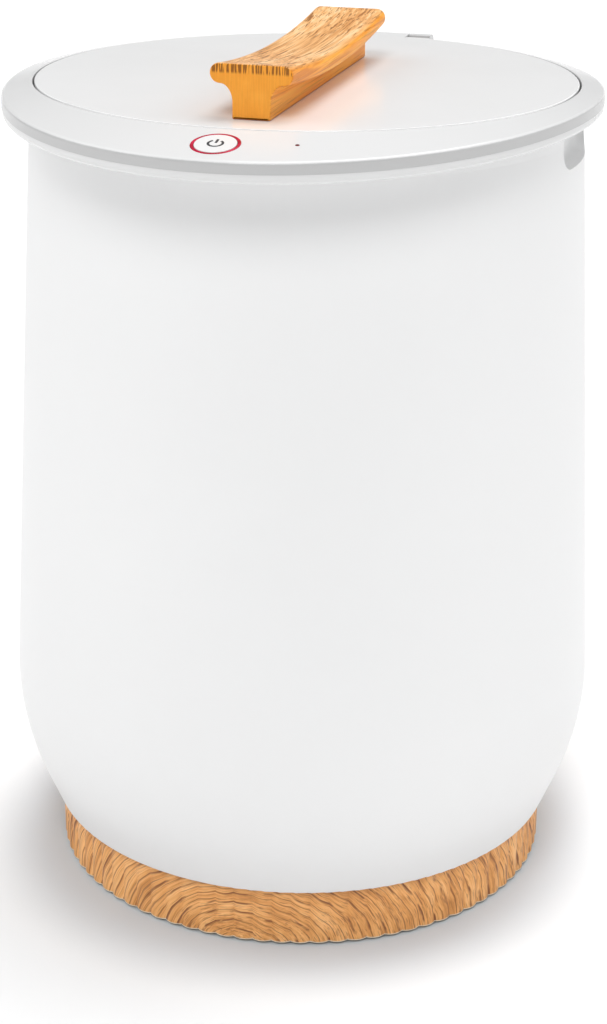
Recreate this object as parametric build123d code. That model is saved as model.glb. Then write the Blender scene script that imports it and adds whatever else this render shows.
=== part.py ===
"""Bucket towel warmer: a barrel-shaped tub that heats rolled towels, under a hinged round lid.

Millimetres, +Z up. The origin is the middle of the whole footprint, on the surface the feet stand on.
The front, with its power button, faces -Y. The lid hinges at the back, about an axis along X.
Every piece is drawn about the barrel's own axis, and moved back onto the origin as it is written.
"""
import os
from math import cos, hypot, pi, radians, sin, sqrt, tan

from build123d import *

# Base: a reeded wood-effect ring on four rubber feet
FOOT_PROUD = 1.5
FOOT_THICKNESS = 3.0
FOOT_RADIUS = 9.0
FOOT_CIRCLE = 105.0
FOOT_COUNT = 4
BASE_RING_HEIGHT = 31.5
BASE_CREST_RADIUS = 133.8
BASE_REED_DEPTH = 1.5
BASE_REED_COUNT = 84
BASE_RING_WALL = 3.6
BASE_RING_FLANGE = 3.0
BASE_FLANGE_INNER = 116.0
BASE_PLATE_RAISED = 2.0
BASE_PLATE_THICKNESS = 2.5
BASE_BOSS_RADIUS = 4.5
BASE_BOSS_CIRCLE = 123.5
BASE_BOSS_START = 45.0
BASE_WEB_WIDTH = 7.2
SHELL_SCREW_CIRCLE = 122.0
SHELL_SCREW_COUNT = 6

# Barrel body: two straight flanks run together in one wide arc, and flare under the rim
ROOM_UNDER_BUCKET = 49.0
BODY_FOOT_RADIUS = 137.0
BODY_SHOULDER_RADIUS = 157.2
BODY_SHOULDER_RISE = 49.5
BODY_FLANK_ARC = 140.0
BODY_NECK_RADIUS = 139.2
BODY_FLARE_RADIUS = 141.6
BODY_FLARE_HEIGHT = 11.0
BODY_EDGE_ROUND = 1.5
BODY_WALL = 2.5
BODY_FLOOR = 3.0
BODY_FLOOR_OPENING = 112.0
SHELL_BOSS_RADIUS = 3.75
SHELL_BOSS_CAP = 1.0

# Finger grips, one pocket in each side of the body under the rim
GRIP_WIDTH = 66.0
GRIP_HEIGHT = 20.0
GRIP_DEPTH = 9.0
GRIP_CORNER = 10.0
GRIP_INNER_ROUND = 5.0

# Inner bucket of drawn aluminium, hung by its flange
BUCKET_WALL = 1.0
BUCKET_MOUTH_RADIUS = 125.0
BUCKET_FLOOR_RADIUS = 119.0
BUCKET_DEPTH = 330.0
BUCKET_CORNER = 16.0
BUCKET_FLANGE_RADIUS = 134.5
STUD_CIRCLE = 62.0
STUD_COUNT = 3
STUD_START = 30.0
STUD_RADIUS = 2.5
STUD_PROUD = 1.0

# Heating and insulation round the bucket
SIDE_HEATER_THICKNESS = 0.8
SIDE_HEATER_START = 40.0
SIDE_HEATER_LENGTH = 225.0
SIDE_INSULATION_THICKNESS = 6.0
SIDE_INSULATION_MARGIN = 10.0
FLOOR_HEATER_RADIUS = 100.0
FLOOR_HEATER_THICKNESS = 1.2
FLOOR_INSULATION_THICKNESS = 10.0
FLOOR_INSULATION_RADIUS = 104.0
CLAMP_PLATE_THICKNESS = 1.0
SENSOR_WINDOW_RADIUS = 27.0
NUT_RADIUS = 4.5
NUT_HEIGHT = 3.5
THERMOSTAT_RADIUS = 8.0
THERMOSTAT_HEIGHT = 9.0
THERMOSTAT_COLLAR_RADIUS = 10.8
THERMOSTAT_COLLAR_HEIGHT = 2.7
THERMOSTAT_BLADE_SPACING = 8.8
THERMOSTAT_BLADE_SIZE = (0.8, 4.8, 7.2)
THERMOSTAT_OFFSET = 10.0
FUSE_RADIUS = 2.0
FUSE_LENGTH = 14.0
FUSE_CLIP_SIZE = (6.4, 7.0, 4.8)
FUSE_OFFSET = 13.0

# Rim: an egg-shaped brim in two mouldings, drawn out to the front as a control panel
LID_OPENING_RADIUS = 136.5
RIM_FRONT_BRIM = 35.0
RIM_SIDE_BRIM = 11.8
RIM_REAR_BRIM = 6.5
RIM_SLOPE = 11.5
RIM_CAP_EDGE = 5.4
RIM_TRAY_EDGE = 5.2
RIM_SKIN = 2.2
RIM_WALL = 2.2
RIM_TOP_ROUND = 1.8
RIM_BOTTOM_ROUND = 2.6
RIM_PARTING_STEP = 0.3
RIM_SEAL_THICKNESS = 1.0
RIM_SEAL_WIDTH = 5.0
LEDGE_THICKNESS = 2.0
LEDGE_INNER_RADIUS = 127.5
RIM_BOSS_RADIUS = 2.9
RIM_HEAD_SUNK = 0.9
RIM_SCREW_AZIMUTHS = (24.0, 45.0, 66.0)

# Lid: a flat cap over an insulated metal liner
LID_GAP = 1.0
LID_EDGE_HEIGHT = 4.9
LID_SKIN = 2.4
LID_SKIRT = 2.2
LID_STEP = 2.0
LID_STEP_HEIGHT = 1.4
LID_TOP_ROUND = 0.6
LID_SEAL_THICKNESS = 1.6
LID_SEAL_WIDTH = 4.0
LINER_WALL = 1.0
LINER_RADIUS = 123.0
LINER_DEPTH = 13.5
LINER_CORNER = 5.0
LID_POST_RADIUS = 4.2
LID_POST_CIRCLE = 96.0
LID_POST_COUNT = 4
LID_POST_START = 45.0

# Lid hinge at the back, kept below the top of the rim
HINGE_STAND_OFF = 6.5
HINGE_BARREL_RADIUS = 5.0
HINGE_BARREL_LENGTH = 39.0
HINGE_EAR_LENGTH = 12.0
HINGE_SIDE_GAP = 0.6
HINGE_SWING_GAP = 0.4
HINGE_TONGUE_THICKNESS = 3.9
HINGE_PIN_RADIUS = 1.5
HINGE_TOP_DROP = 0.3
HINGE_ROOT_DROP = 1.0
HINGE_PIN_SHORT = 1.0
HINGE_STOP_THICKNESS = 2.5
LID_OPEN_ANGLE = 95.0

# Handle: one length of T-shaped wood, dished along its top
HANDLE_LENGTH = 182.0
HANDLE_FORWARD = 25.0
HANDLE_ASIDE = 5.0
HANDLE_END_HEIGHT = 25.2
HANDLE_DISH = 5.6
HANDLE_WIDTH = 39.0
HANDLE_STEM_WIDTH = 18.0
HANDLE_WING = 9.2
HANDLE_COVE = 4.5
HANDLE_EDGE_ROUND = 4.2
HANDLE_SCREW_SPACING = 110.0

# Control panel in the front of the rim
BUTTON_DISTANCE = 153.5
BUTTON_RADIUS = 9.6
BUTTON_PROUD = 0.3
BUTTON_TRAVEL = 0.5
BUTTON_FLANGE = 0.9
BUTTON_FLANGE_THICKNESS = 0.6
LIGHT_RING_WIDTH = 1.5
LIGHT_RING_LIP = 1.3
LIGHT_RING_LIP_THICKNESS = 0.8
INDICATOR_RADIUS = 1.0
INDICATOR_DISTANCE = 151.5
INDICATOR_AZIMUTH = 13.5
INDICATOR_LIP = 1.0
BOARD_THICKNESS = 1.2
BOARD_RAISED = 0.5
BOARD_LEFT = 17.0
BOARD_RIGHT = 42.0
BOARD_DEPTH = 18.0
BOARD_POST_RADIUS = 2.5
SWITCH_SIDE = 6.0
SWITCH_HEIGHT = 1.7
PLUNGER_RADIUS = 1.6
PLUNGER_SUNK = 0.5
LED_SIDE = 1.6
LED_HEIGHT = 0.8
LED_TURNS = (0, 30, 150, 180)

# Mains side, on the base plate
POWER_BOARD_LENGTH = 96.0
POWER_BOARD_WIDTH = 64.0
POWER_BOARD_THICKNESS = 1.6
POWER_POST_HEIGHT = 6.0
POWER_POST_RADIUS = 3.5
POWER_POST_INSET = 6.0
GLAND_HEIGHT = 17.0
GLAND_BORE_RADIUS = 3.6
GLAND_BARREL_RADIUS = 5.6
GLAND_FLANGE_RADIUS = 8.0
GLAND_FLANGE_THICKNESS = 2.4
GLAND_INSIDE = 5.0
RELAY_SIZE = (19.0, 16.0, 15.5)
RELAY_PLACE = (-20.5, 0.0)
TRANSFORMER_CORE_SIZE = (30.0, 26.0, 22.0)
TRANSFORMER_WINDING_SIZE = (22.0, 32.0, 14.0)
TRANSFORMER_PLACE = (17.0, -6.0)
CAPACITOR_RADIUS = 6.0
CAPACITOR_HEIGHT = 18.0
CAPACITOR_PLACE = (-20.0, 20.0)
TERMINAL_WAYS = 4
TERMINAL_PITCH = 7.3
TERMINAL_DEPTH = 11.0
TERMINAL_HEIGHT = 13.0
TERMINAL_WELL_RADIUS = 2.2
TERMINAL_WELL_DEPTH = 8.0
TERMINAL_PLACE = (11.0, 20.0)
SMALL_ROUND = 1.0

# Screws
SCREW_RADIUS = 1.5
SCREW_LENGTH = 10.0
SCREW_HEAD_RADIUS = 2.9
SCREW_HEAD_HEIGHT = 1.9
HANDLE_SCREW_RADIUS = 2.0
HANDLE_SCREW_LENGTH = 16.0
HANDLE_SCREW_HEAD_RADIUS = 4.0

# Clearances between neighbours
SEAT_GAP = 0.05
RUNNING_GAP = 0.05
SLIP_GAP = 0.2
PIECE_GAP = 0.3

# How far a cutting body runs past the face it opens
CUT = 1.0
LONG_CUT = 30.0

# How far the barrel's axis stands behind the origin, which is the middle of the whole footprint
AXIS_BACK = 8.0

# Reaches and heights that follow from the sizes above
RIM_FRONT_REACH = LID_OPENING_RADIUS + RIM_FRONT_BRIM
RIM_HALF_WIDTH = LID_OPENING_RADIUS + RIM_SIDE_BRIM
RIM_REAR_REACH = LID_OPENING_RADIUS + RIM_REAR_BRIM
HINGE_REACH = RIM_REAR_REACH + HINGE_STAND_OFF
BODY_BOTTOM = FOOT_PROUD + BASE_RING_HEIGHT
BODY_HEIGHT = ROOM_UNDER_BUCKET + BUCKET_DEPTH - BUCKET_WALL
BODY_TOP = BODY_BOTTOM + BODY_HEIGHT
BUCKET_TOP = BODY_TOP + BUCKET_WALL
LEDGE_BOTTOM = BUCKET_TOP + RIM_SEAL_THICKNESS
LID_SEAT = LEDGE_BOTTOM + LEDGE_THICKNESS
LID_BOTTOM = LID_SEAT + LID_SEAL_THICKNESS
LID_TOP = LID_BOTTOM + LID_EDGE_HEIGHT
LID_RADIUS = LID_OPENING_RADIUS - LID_GAP
LINER_BOTTOM = LID_BOTTOM - LINER_DEPTH
BUCKET_BOTTOM = BUCKET_TOP - BUCKET_DEPTH
PLATE_TOP = BASE_PLATE_RAISED + BASE_PLATE_THICKNESS
BASE_INNER_RADIUS = BASE_CREST_RADIUS - BASE_REED_DEPTH - BASE_RING_WALL
GRIP_TOP = BODY_TOP - BODY_WALL - PIECE_GAP
HINGE_HEIGHT = LID_TOP - HINGE_TOP_DROP - HINGE_BARREL_RADIUS
FAR_RADIUS = RIM_FRONT_REACH + LONG_CUT


def tube(outer, inner, low, high):
    """A ring with square corners about the Z axis."""
    ring = Pos(0, 0, (low + high) / 2) * Cylinder(outer, high - low)
    if inner > 0:
        ring -= Pos(0, 0, (low + high) / 2) * Cylinder(inner, high - low + CUT)
    return ring


def disc(radius, low, high, at=(0, 0)):
    """An upright cylinder that stands at a place in plan."""
    return Pos(at[0], at[1], (low + high) / 2) * Cylinder(radius, high - low)


def block(x_range, y_range, z_range):
    """A box from its lowest to its highest corner."""
    size = [high - low for low, high in (x_range, y_range, z_range)]
    middle = [(high + low) / 2 for low, high in (x_range, y_range, z_range)]
    return Pos(*middle) * Box(*size)


def turned(points):
    """A closed outline of (radius, height) points, turned about the Z axis."""
    outline = Polyline(*[(r, 0, z) for r, z in points], close=True)
    return revolve(make_face(outline), Axis.Z)


def around(radius, count, start=0.0):
    """Evenly spaced places on a circle, from an azimuth measured from the front."""
    turns = [radians(start + 360 * i / count) for i in range(count)]
    return [(radius * sin(t), -radius * cos(t)) for t in turns]


def both_sides(radius_at, azimuths):
    """Places at the same azimuths to the right and the left of the front."""
    places = []
    for azimuth in azimuths:
        for side in (1, -1):
            r = radius_at(azimuth)
            places.append((side * r * sin(radians(azimuth)), -r * cos(radians(azimuth))))
    return places


def pan_screw(at, under_head, length=SCREW_LENGTH, radius=SCREW_RADIUS,
              head=SCREW_HEAD_RADIUS, up=True):
    """A plain screw with a domed head, driven upwards unless told otherwise."""
    way = 1 if up else -1
    shank_end = under_head + way * length
    low, high = sorted((under_head, shank_end))
    head_low, head_high = sorted((under_head - way * SCREW_HEAD_HEIGHT, under_head))
    screw = disc(radius, low, high, at) + disc(head, head_low, head_high, at)
    outer = under_head - way * SCREW_HEAD_HEIGHT
    rim = screw.edges().filter_by(GeomType.CIRCLE).sort_by(lambda e: abs(e.center().Z - outer))[0]
    return chamfer(rim, SCREW_HEAD_HEIGHT * 0.5)


def base_ring():
    """Reeded ring: each reed is one shallow arc between two valleys."""
    valley = BASE_CREST_RADIUS - BASE_REED_DEPTH
    step = 2 * pi / BASE_REED_COUNT
    reeds = []
    for i in range(BASE_REED_COUNT):
        start, middle, end = i * step, (i + 0.5) * step, (i + 1) * step
        reeds.append(ThreePointArc(
            (valley * cos(start), valley * sin(start)),
            (BASE_CREST_RADIUS * cos(middle), BASE_CREST_RADIUS * sin(middle)),
            (valley * cos(end), valley * sin(end)),
        ))
    ring = Pos(0, 0, FOOT_PROUD) * extrude(make_face(reeds), BASE_RING_HEIGHT)
    flange_low = BODY_BOTTOM - BASE_RING_FLANGE
    ring -= disc(BASE_INNER_RADIUS, 0, flange_low)
    ring -= disc(BASE_FLANGE_INNER, 0, BODY_BOTTOM + CUT)
    web = Box(BASE_WEB_WIDTH, BASE_WEB_WIDTH, flange_low - PLATE_TOP)
    for place in around(BASE_BOSS_CIRCLE + BASE_WEB_WIDTH / 2, FOOT_COUNT, BASE_BOSS_START):
        placed_web = Pos(place[0], place[1], (PLATE_TOP + flange_low) / 2) * Rot(0, 0, BASE_BOSS_START) * web
        ring += placed_web & disc(BASE_INNER_RADIUS + CUT, PLATE_TOP, flange_low)
    for place in around(BASE_BOSS_CIRCLE, FOOT_COUNT, BASE_BOSS_START):
        ring += disc(BASE_BOSS_RADIUS, PLATE_TOP, flange_low + CUT, place)
        ring -= disc(SCREW_RADIUS + RUNNING_GAP, 0, PLATE_TOP + SCREW_LENGTH + 2 * CUT, place)
    for place in around(SHELL_SCREW_CIRCLE, SHELL_SCREW_COUNT):
        ring -= disc(SCREW_RADIUS + SLIP_GAP, flange_low - CUT, BODY_BOTTOM + CUT, place)
    barrel = Pos(0, BASE_CREST_RADIUS, GLAND_HEIGHT) * Rot(90, 0, 0) * Cylinder(
        GLAND_BARREL_RADIUS + SEAT_GAP, LONG_CUT)
    return ring - barrel


def base_plate():
    """Bottom cover with pockets for the feet and posts for the power board."""
    plate = disc(BASE_INNER_RADIUS - PIECE_GAP, BASE_PLATE_RAISED, PLATE_TOP)
    for place in around(FOOT_CIRCLE, FOOT_COUNT):
        plate -= disc(FOOT_RADIUS + SEAT_GAP, 0, FOOT_THICKNESS, place)
    for place in around(BASE_BOSS_CIRCLE, FOOT_COUNT, BASE_BOSS_START):
        plate -= disc(SCREW_RADIUS + SLIP_GAP, 0, PLATE_TOP + CUT, place)
        sink = Pos(*place, BASE_PLATE_RAISED) * Cone(
            SCREW_HEAD_RADIUS + SLIP_GAP, SCREW_RADIUS + SLIP_GAP, SCREW_HEAD_HEIGHT,
            align=(Align.CENTER, Align.CENTER, Align.MIN))
        plate -= sink
    for place in power_post_places():
        post = disc(POWER_POST_RADIUS, PLATE_TOP - CUT, PLATE_TOP + POWER_POST_HEIGHT, place)
        plate += post
        plate -= disc(SCREW_RADIUS + RUNNING_GAP, PLATE_TOP, PLATE_TOP + POWER_POST_HEIGHT + CUT, place)
    return plate


def rubber_feet():
    """Four turned rubber feet, each with a bevelled tread."""
    feet = []
    for place in around(FOOT_CIRCLE, FOOT_COUNT):
        foot = disc(FOOT_RADIUS, 0, FOOT_THICKNESS, place)
        tread = foot.edges().filter_by(GeomType.CIRCLE).sort_by(Axis.Z)[0]
        feet.append(chamfer(tread, FOOT_PROUD * 0.5))
    return feet


def base_screws():
    """Countersunk screws that hold the base plate to the ring."""
    screws = []
    for place in around(BASE_BOSS_CIRCLE, FOOT_COUNT, BASE_BOSS_START):
        head = Pos(*place, BASE_PLATE_RAISED) * Cone(
            SCREW_HEAD_RADIUS, SCREW_RADIUS, SCREW_HEAD_HEIGHT,
            align=(Align.CENTER, Align.CENTER, Align.MIN))
        shank = disc(SCREW_RADIUS, BASE_PLATE_RAISED + SCREW_HEAD_HEIGHT / 2,
                     PLATE_TOP + SCREW_LENGTH, place)
        screws.append(head + shank)
    return screws


def cord_gland():
    """Flanged bush that the mains lead would pass through, at the back of the base."""
    outer_face = BASE_CREST_RADIUS + GLAND_FLANGE_THICKNESS
    bevel = GLAND_FLANGE_THICKNESS / 2
    inner_face = BASE_INNER_RADIUS - GLAND_INSIDE
    gland = turned([
        (GLAND_BORE_RADIUS, inner_face),
        (GLAND_BARREL_RADIUS, inner_face),
        (GLAND_BARREL_RADIUS, BASE_CREST_RADIUS),
        (GLAND_FLANGE_RADIUS, BASE_CREST_RADIUS),
        (GLAND_FLANGE_RADIUS, outer_face - bevel),
        (GLAND_FLANGE_RADIUS - bevel, outer_face),
        (GLAND_BORE_RADIUS, outer_face),
    ])
    return Pos(0, 0, GLAND_HEIGHT) * Rot(-90, 0, 0) * gland


def flank_corner(inset):
    """Where the two straight flanks meet once both are moved inwards by the inset."""
    foot = (BODY_FOOT_RADIUS, BODY_BOTTOM)
    shoulder = (BODY_SHOULDER_RADIUS, BODY_BOTTOM + BODY_SHOULDER_RISE)
    neck = (BODY_NECK_RADIUS, BODY_TOP - BODY_FLARE_HEIGHT)
    lines = []
    for start, end in ((foot, shoulder), (shoulder, neck)):
        run = hypot(end[0] - start[0], end[1] - start[1])
        way = ((end[0] - start[0]) / run, (end[1] - start[1]) / run)
        lines.append(((start[0] - inset * way[1], start[1] + inset * way[0]), way))
    (a, u), (b, v) = lines
    along = ((b[0] - a[0]) * v[1] - (b[1] - a[1]) * v[0]) / (u[0] * v[1] - u[1] * v[0])
    corner = (a[0] + along * u[0], a[1] + along * u[1])

    def radius_at(height):
        start, way = (a, u) if height < corner[1] else (b, v)
        return start[0] + way[0] * (height - start[1]) / way[1]

    return corner, radius_at


def body_core(inset, low, high, flared):
    """The barrel's solid of revolution, moved inwards by the inset, between two heights."""
    corner, radius_at = flank_corner(inset)
    flank_end = BODY_TOP - BODY_FLARE_HEIGHT if flared else high
    points = [(radius_at(low), low), corner, (radius_at(flank_end), flank_end)]
    flank = FilletPolyline(*[(r, 0, z) for r, z in points], radius=BODY_FLANK_ARC - inset)
    path = [flank]
    top_radius = radius_at(flank_end)
    if flared:
        way = (points[2][0] - points[1][0], 0, points[2][1] - points[1][1])
        path.append(TangentArc((points[2][0], 0, flank_end), (BODY_FLARE_RADIUS, 0, high), tangent=way))
        top_radius = BODY_FLARE_RADIUS
    path.append(Polyline((top_radius, 0, high), (0, 0, high), (0, 0, low), (radius_at(low), 0, low)))
    return revolve(make_face(path), Axis.Z)


def grip_pocket(side, grow):
    """One finger pocket, cut in from the side, and grown by a wall for its inner face."""
    back = BODY_NECK_RADIUS - GRIP_DEPTH - grow
    reach = BODY_FLARE_RADIUS + LONG_CUT - back
    low = GRIP_TOP - GRIP_HEIGHT - grow
    high = GRIP_TOP + grow
    profile = Rectangle(GRIP_WIDTH + 2 * grow, high - low)
    lower_corners = profile.vertices().group_by(Axis.Y)[0]
    profile = fillet(lower_corners, GRIP_CORNER + grow)
    pocket = extrude(Plane.YZ * profile, reach)
    pocket = Pos(back, 0, (low + high) / 2) * pocket
    inner_edges = pocket.faces().sort_by(Axis.X)[0].edges()
    lower_edges = inner_edges.sort_by(Axis.Z)[:-1]
    pocket = fillet(lower_edges, GRIP_INNER_ROUND + grow)
    return pocket if side > 0 else pocket.mirror(Plane.YZ)


def body_shell():
    """Barrel shell with an inward floor ring, a top flange and two finger pockets."""
    outer = body_core(0, BODY_BOTTOM, BODY_TOP, True)
    outer = fillet(outer.edges().filter_by(GeomType.CIRCLE).sort_by(Axis.Z)[0], BODY_EDGE_ROUND)
    inner = body_core(BODY_WALL, BODY_BOTTOM + BODY_FLOOR, BODY_TOP - BODY_WALL, False)
    for side in (1, -1):
        outer -= grip_pocket(side, 0)
        inner -= grip_pocket(side, BODY_WALL)
    shell = outer - inner
    shell -= disc(BODY_FLOOR_OPENING, BODY_BOTTOM - CUT, BODY_BOTTOM + BODY_FLOOR + CUT)
    shell -= disc(shell_mouth_radius(), BODY_TOP - BODY_WALL - CUT, BODY_TOP + CUT)
    for place in around(SHELL_SCREW_CIRCLE, SHELL_SCREW_COUNT):
        boss_top = BODY_BOTTOM + SCREW_LENGTH
        shell += disc(SHELL_BOSS_RADIUS, BODY_BOTTOM + BODY_FLOOR / 2, boss_top, place)
        shell -= disc(SCREW_RADIUS + RUNNING_GAP, BODY_BOTTOM - CUT, boss_top - SHELL_BOSS_CAP, place)
    return shell


def shell_mouth_radius():
    """The opening in the body's top flange, clear of the bucket."""
    return BUCKET_MOUTH_RADIUS + BUCKET_WALL + PIECE_GAP


def shell_screws():
    """Screws through the base ring's flange into the body's bosses."""
    under_head = BODY_BOTTOM - BASE_RING_FLANGE
    return [pan_screw(place, under_head) for place in around(SHELL_SCREW_CIRCLE, SHELL_SCREW_COUNT)]


def bucket_radius(height, outward=0.0):
    """The bucket's outer radius at a height, moved outwards."""
    part_way = (height - BUCKET_BOTTOM) / BUCKET_DEPTH
    taper = BUCKET_MOUTH_RADIUS - BUCKET_FLOOR_RADIUS
    return BUCKET_FLOOR_RADIUS + taper * part_way + BUCKET_WALL + outward


def bucket_core(inset, high):
    """The bucket's tapered solid with its rounded floor corner."""
    low = BUCKET_BOTTOM + inset
    mouth = (bucket_radius(high, -inset), 0, high)
    wall = FilletPolyline(
        (0, 0, low),
        (bucket_radius(low, -inset), 0, low),
        mouth,
        radius=BUCKET_CORNER - inset,
    )
    closing = Polyline(mouth, (0, 0, high), (0, 0, low))
    return revolve(make_face([wall, closing]), Axis.Z)


def inner_bucket():
    """Drawn aluminium bucket with a flat flange and three studs welded under its floor."""
    bucket = bucket_core(0, BUCKET_TOP) + tube(BUCKET_FLANGE_RADIUS, 0, BODY_TOP, BUCKET_TOP)
    bucket -= bucket_core(BUCKET_WALL, BUCKET_TOP + CUT)
    top_edges = bucket.edges().filter_by(GeomType.CIRCLE).group_by(Axis.Z)[-1]
    bucket = fillet(top_edges.sort_by(SortBy.RADIUS)[0], BUCKET_WALL * 0.8)
    stud_end = clamp_bottom() - NUT_HEIGHT - STUD_PROUD
    for place in around(STUD_CIRCLE, STUD_COUNT, STUD_START):
        bucket += disc(STUD_RADIUS, stud_end, BUCKET_BOTTOM + BUCKET_WALL / 2, place)
    return bucket


def clamp_bottom():
    """Underside of the plate that holds the floor heater and its insulation up."""
    stack = FLOOR_HEATER_THICKNESS + FLOOR_INSULATION_THICKNESS + CLAMP_PLATE_THICKNESS
    return BUCKET_BOTTOM - stack - 3 * SEAT_GAP


def sleeve(inward, thickness, low, high):
    """A tapered sleeve that follows the bucket's wall."""
    return turned([
        (bucket_radius(low, inward), low),
        (bucket_radius(low, inward + thickness), low),
        (bucket_radius(high, inward + thickness), high),
        (bucket_radius(high, inward), high),
    ])


def side_heater():
    """Flexible heating wrap round the bucket."""
    low = BUCKET_BOTTOM + SIDE_HEATER_START
    return sleeve(SEAT_GAP, SIDE_HEATER_THICKNESS, low, low + SIDE_HEATER_LENGTH)


def side_insulation():
    """Felt blanket outside the heating wrap."""
    low = BUCKET_BOTTOM + SIDE_HEATER_START - SIDE_INSULATION_MARGIN
    high = BUCKET_BOTTOM + SIDE_HEATER_START + SIDE_HEATER_LENGTH + SIDE_INSULATION_MARGIN
    return sleeve(SIDE_HEATER_THICKNESS + 2 * SEAT_GAP, SIDE_INSULATION_THICKNESS, low, high)


def with_stud_holes(shape, low, high):
    """Cuts the three stud holes through a disc under the bucket."""
    for place in around(STUD_CIRCLE, STUD_COUNT, STUD_START):
        shape -= disc(STUD_RADIUS + SLIP_GAP, low - CUT, high + CUT, place)
    return shape


def floor_heater():
    """Heating plate against the bucket's floor."""
    high = BUCKET_BOTTOM - SEAT_GAP
    low = high - FLOOR_HEATER_THICKNESS
    return with_stud_holes(disc(FLOOR_HEATER_RADIUS, low, high), low, high)


def floor_insulation():
    """Felt pad under the heating plate, with a window for the two sensors."""
    high = BUCKET_BOTTOM - FLOOR_HEATER_THICKNESS - 2 * SEAT_GAP
    low = high - FLOOR_INSULATION_THICKNESS
    return with_stud_holes(tube(FLOOR_INSULATION_RADIUS, SENSOR_WINDOW_RADIUS, low, high), low, high)


def clamp_plate():
    """Pressed steel plate that the nuts draw up against the pad."""
    low = clamp_bottom()
    high = low + CLAMP_PLATE_THICKNESS
    return with_stud_holes(tube(FLOOR_INSULATION_RADIUS, SENSOR_WINDOW_RADIUS, low, high), low, high)


def clamp_nuts():
    """Three hexagon nuts on the studs."""
    nuts = []
    for place in around(STUD_CIRCLE, STUD_COUNT, STUD_START):
        nut = extrude(RegularPolygon(NUT_RADIUS, 6) - Circle(STUD_RADIUS + RUNNING_GAP), NUT_HEIGHT)
        nuts.append(Pos(*place, clamp_bottom() - NUT_HEIGHT - SEAT_GAP) * nut)
    return nuts


def sensor_seat():
    """Underside of the heating plate, where the two sensors press."""
    return BUCKET_BOTTOM - FLOOR_HEATER_THICKNESS - 2 * SEAT_GAP


def hung_box(size):
    """A box of a size whose top face is centred on the origin."""
    return Box(*size, align=(Align.CENTER, Align.CENTER, Align.MAX))


def thermostat():
    """Round bimetal thermostat with its mounting collar and two blade terminals."""
    seat = sensor_seat()
    at = (-THERMOSTAT_OFFSET, 0)
    body = disc(THERMOSTAT_RADIUS, seat - THERMOSTAT_HEIGHT, seat, at)
    body += disc(THERMOSTAT_COLLAR_RADIUS, seat - THERMOSTAT_COLLAR_HEIGHT, seat, at)
    for side in (1, -1):
        x = at[0] + side * THERMOSTAT_BLADE_SPACING / 2
        body += Pos(x, 0, seat - THERMOSTAT_HEIGHT) * hung_box(THERMOSTAT_BLADE_SIZE)
    return body


def thermal_fuse():
    """Axial one-shot fuse in a saddle clip against the heating plate."""
    seat = sensor_seat()
    fuse = Pos(FUSE_OFFSET, 0, seat - FUSE_RADIUS) * Rot(90, 0, 0) * Cylinder(FUSE_RADIUS, FUSE_LENGTH)
    return fuse + Pos(FUSE_OFFSET, 0, seat) * hung_box(FUSE_CLIP_SIZE)


def rim_reach(azimuth, grow=0.0):
    """The egg outline's radius at an azimuth from the front."""
    turn = radians(azimuth)
    end = (RIM_FRONT_REACH if cos(turn) > 0 else RIM_REAR_REACH) + grow
    side = RIM_HALF_WIDTH + grow
    return 1 / sqrt((cos(turn) / end) ** 2 + (sin(turn) / side) ** 2)


def rim_top(radius):
    """Height of the rim's sloping top at a radius."""
    return LID_TOP - (radius - LID_OPENING_RADIUS) * tan(radians(RIM_SLOPE))


def egg(grow, low, high):
    """Upright prism on the rim's outline: half an ellipse to the front, a flatter half behind."""
    side = RIM_HALF_WIDTH + grow
    front = EllipticalCenterArc((0, 0), side, RIM_FRONT_REACH + grow, start_angle=180, arc_size=180)
    rear = EllipticalCenterArc((0, 0), side, RIM_REAR_REACH + grow, start_angle=0, arc_size=180)
    return Pos(0, 0, low) * extrude(make_face([front, rear]), high - low)


def brim(inner, top_drop, bottom_drop, grow):
    """The part of the outline's prism between two cones parallel to the rim's top."""
    cones = turned([
        (inner, rim_top(inner) - top_drop),
        (FAR_RADIUS, rim_top(FAR_RADIUS) - top_drop),
        (FAR_RADIUS, rim_top(FAR_RADIUS) - bottom_drop),
        (inner, rim_top(inner) - bottom_drop),
    ])
    return egg(grow, BODY_TOP - LONG_CUT, LID_TOP + LONG_CUT) & cones


def outer_edges(shape, pick):
    """The brim's outer edge along its top (pick max) or its bottom (pick min): a front and a rear half."""
    curves = [e for e in shape.edges() if e.geom_type not in (GeomType.CIRCLE, GeomType.LINE)]
    halves = ([e for e in curves if e.center().Y < 0], [e for e in curves if e.center().Y > 0])
    return [pick(half, key=lambda e: e.center().Z) for half in halves]


def rim_screw_places():
    """Screw places midway between the body's flare and the tray's outer wall."""
    inner = BODY_FLARE_RADIUS + PIECE_GAP
    outer_inset = -RIM_WALL - RIM_PARTING_STEP
    return both_sides(lambda azimuth: (inner + rim_reach(azimuth, outer_inset)) / 2, RIM_SCREW_AZIMUTHS)


def rim_floor_top(radius):
    """Top of the tray's floor at a radius."""
    return rim_top(radius) - RIM_CAP_EDGE - RIM_TRAY_EDGE + RIM_SKIN


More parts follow.
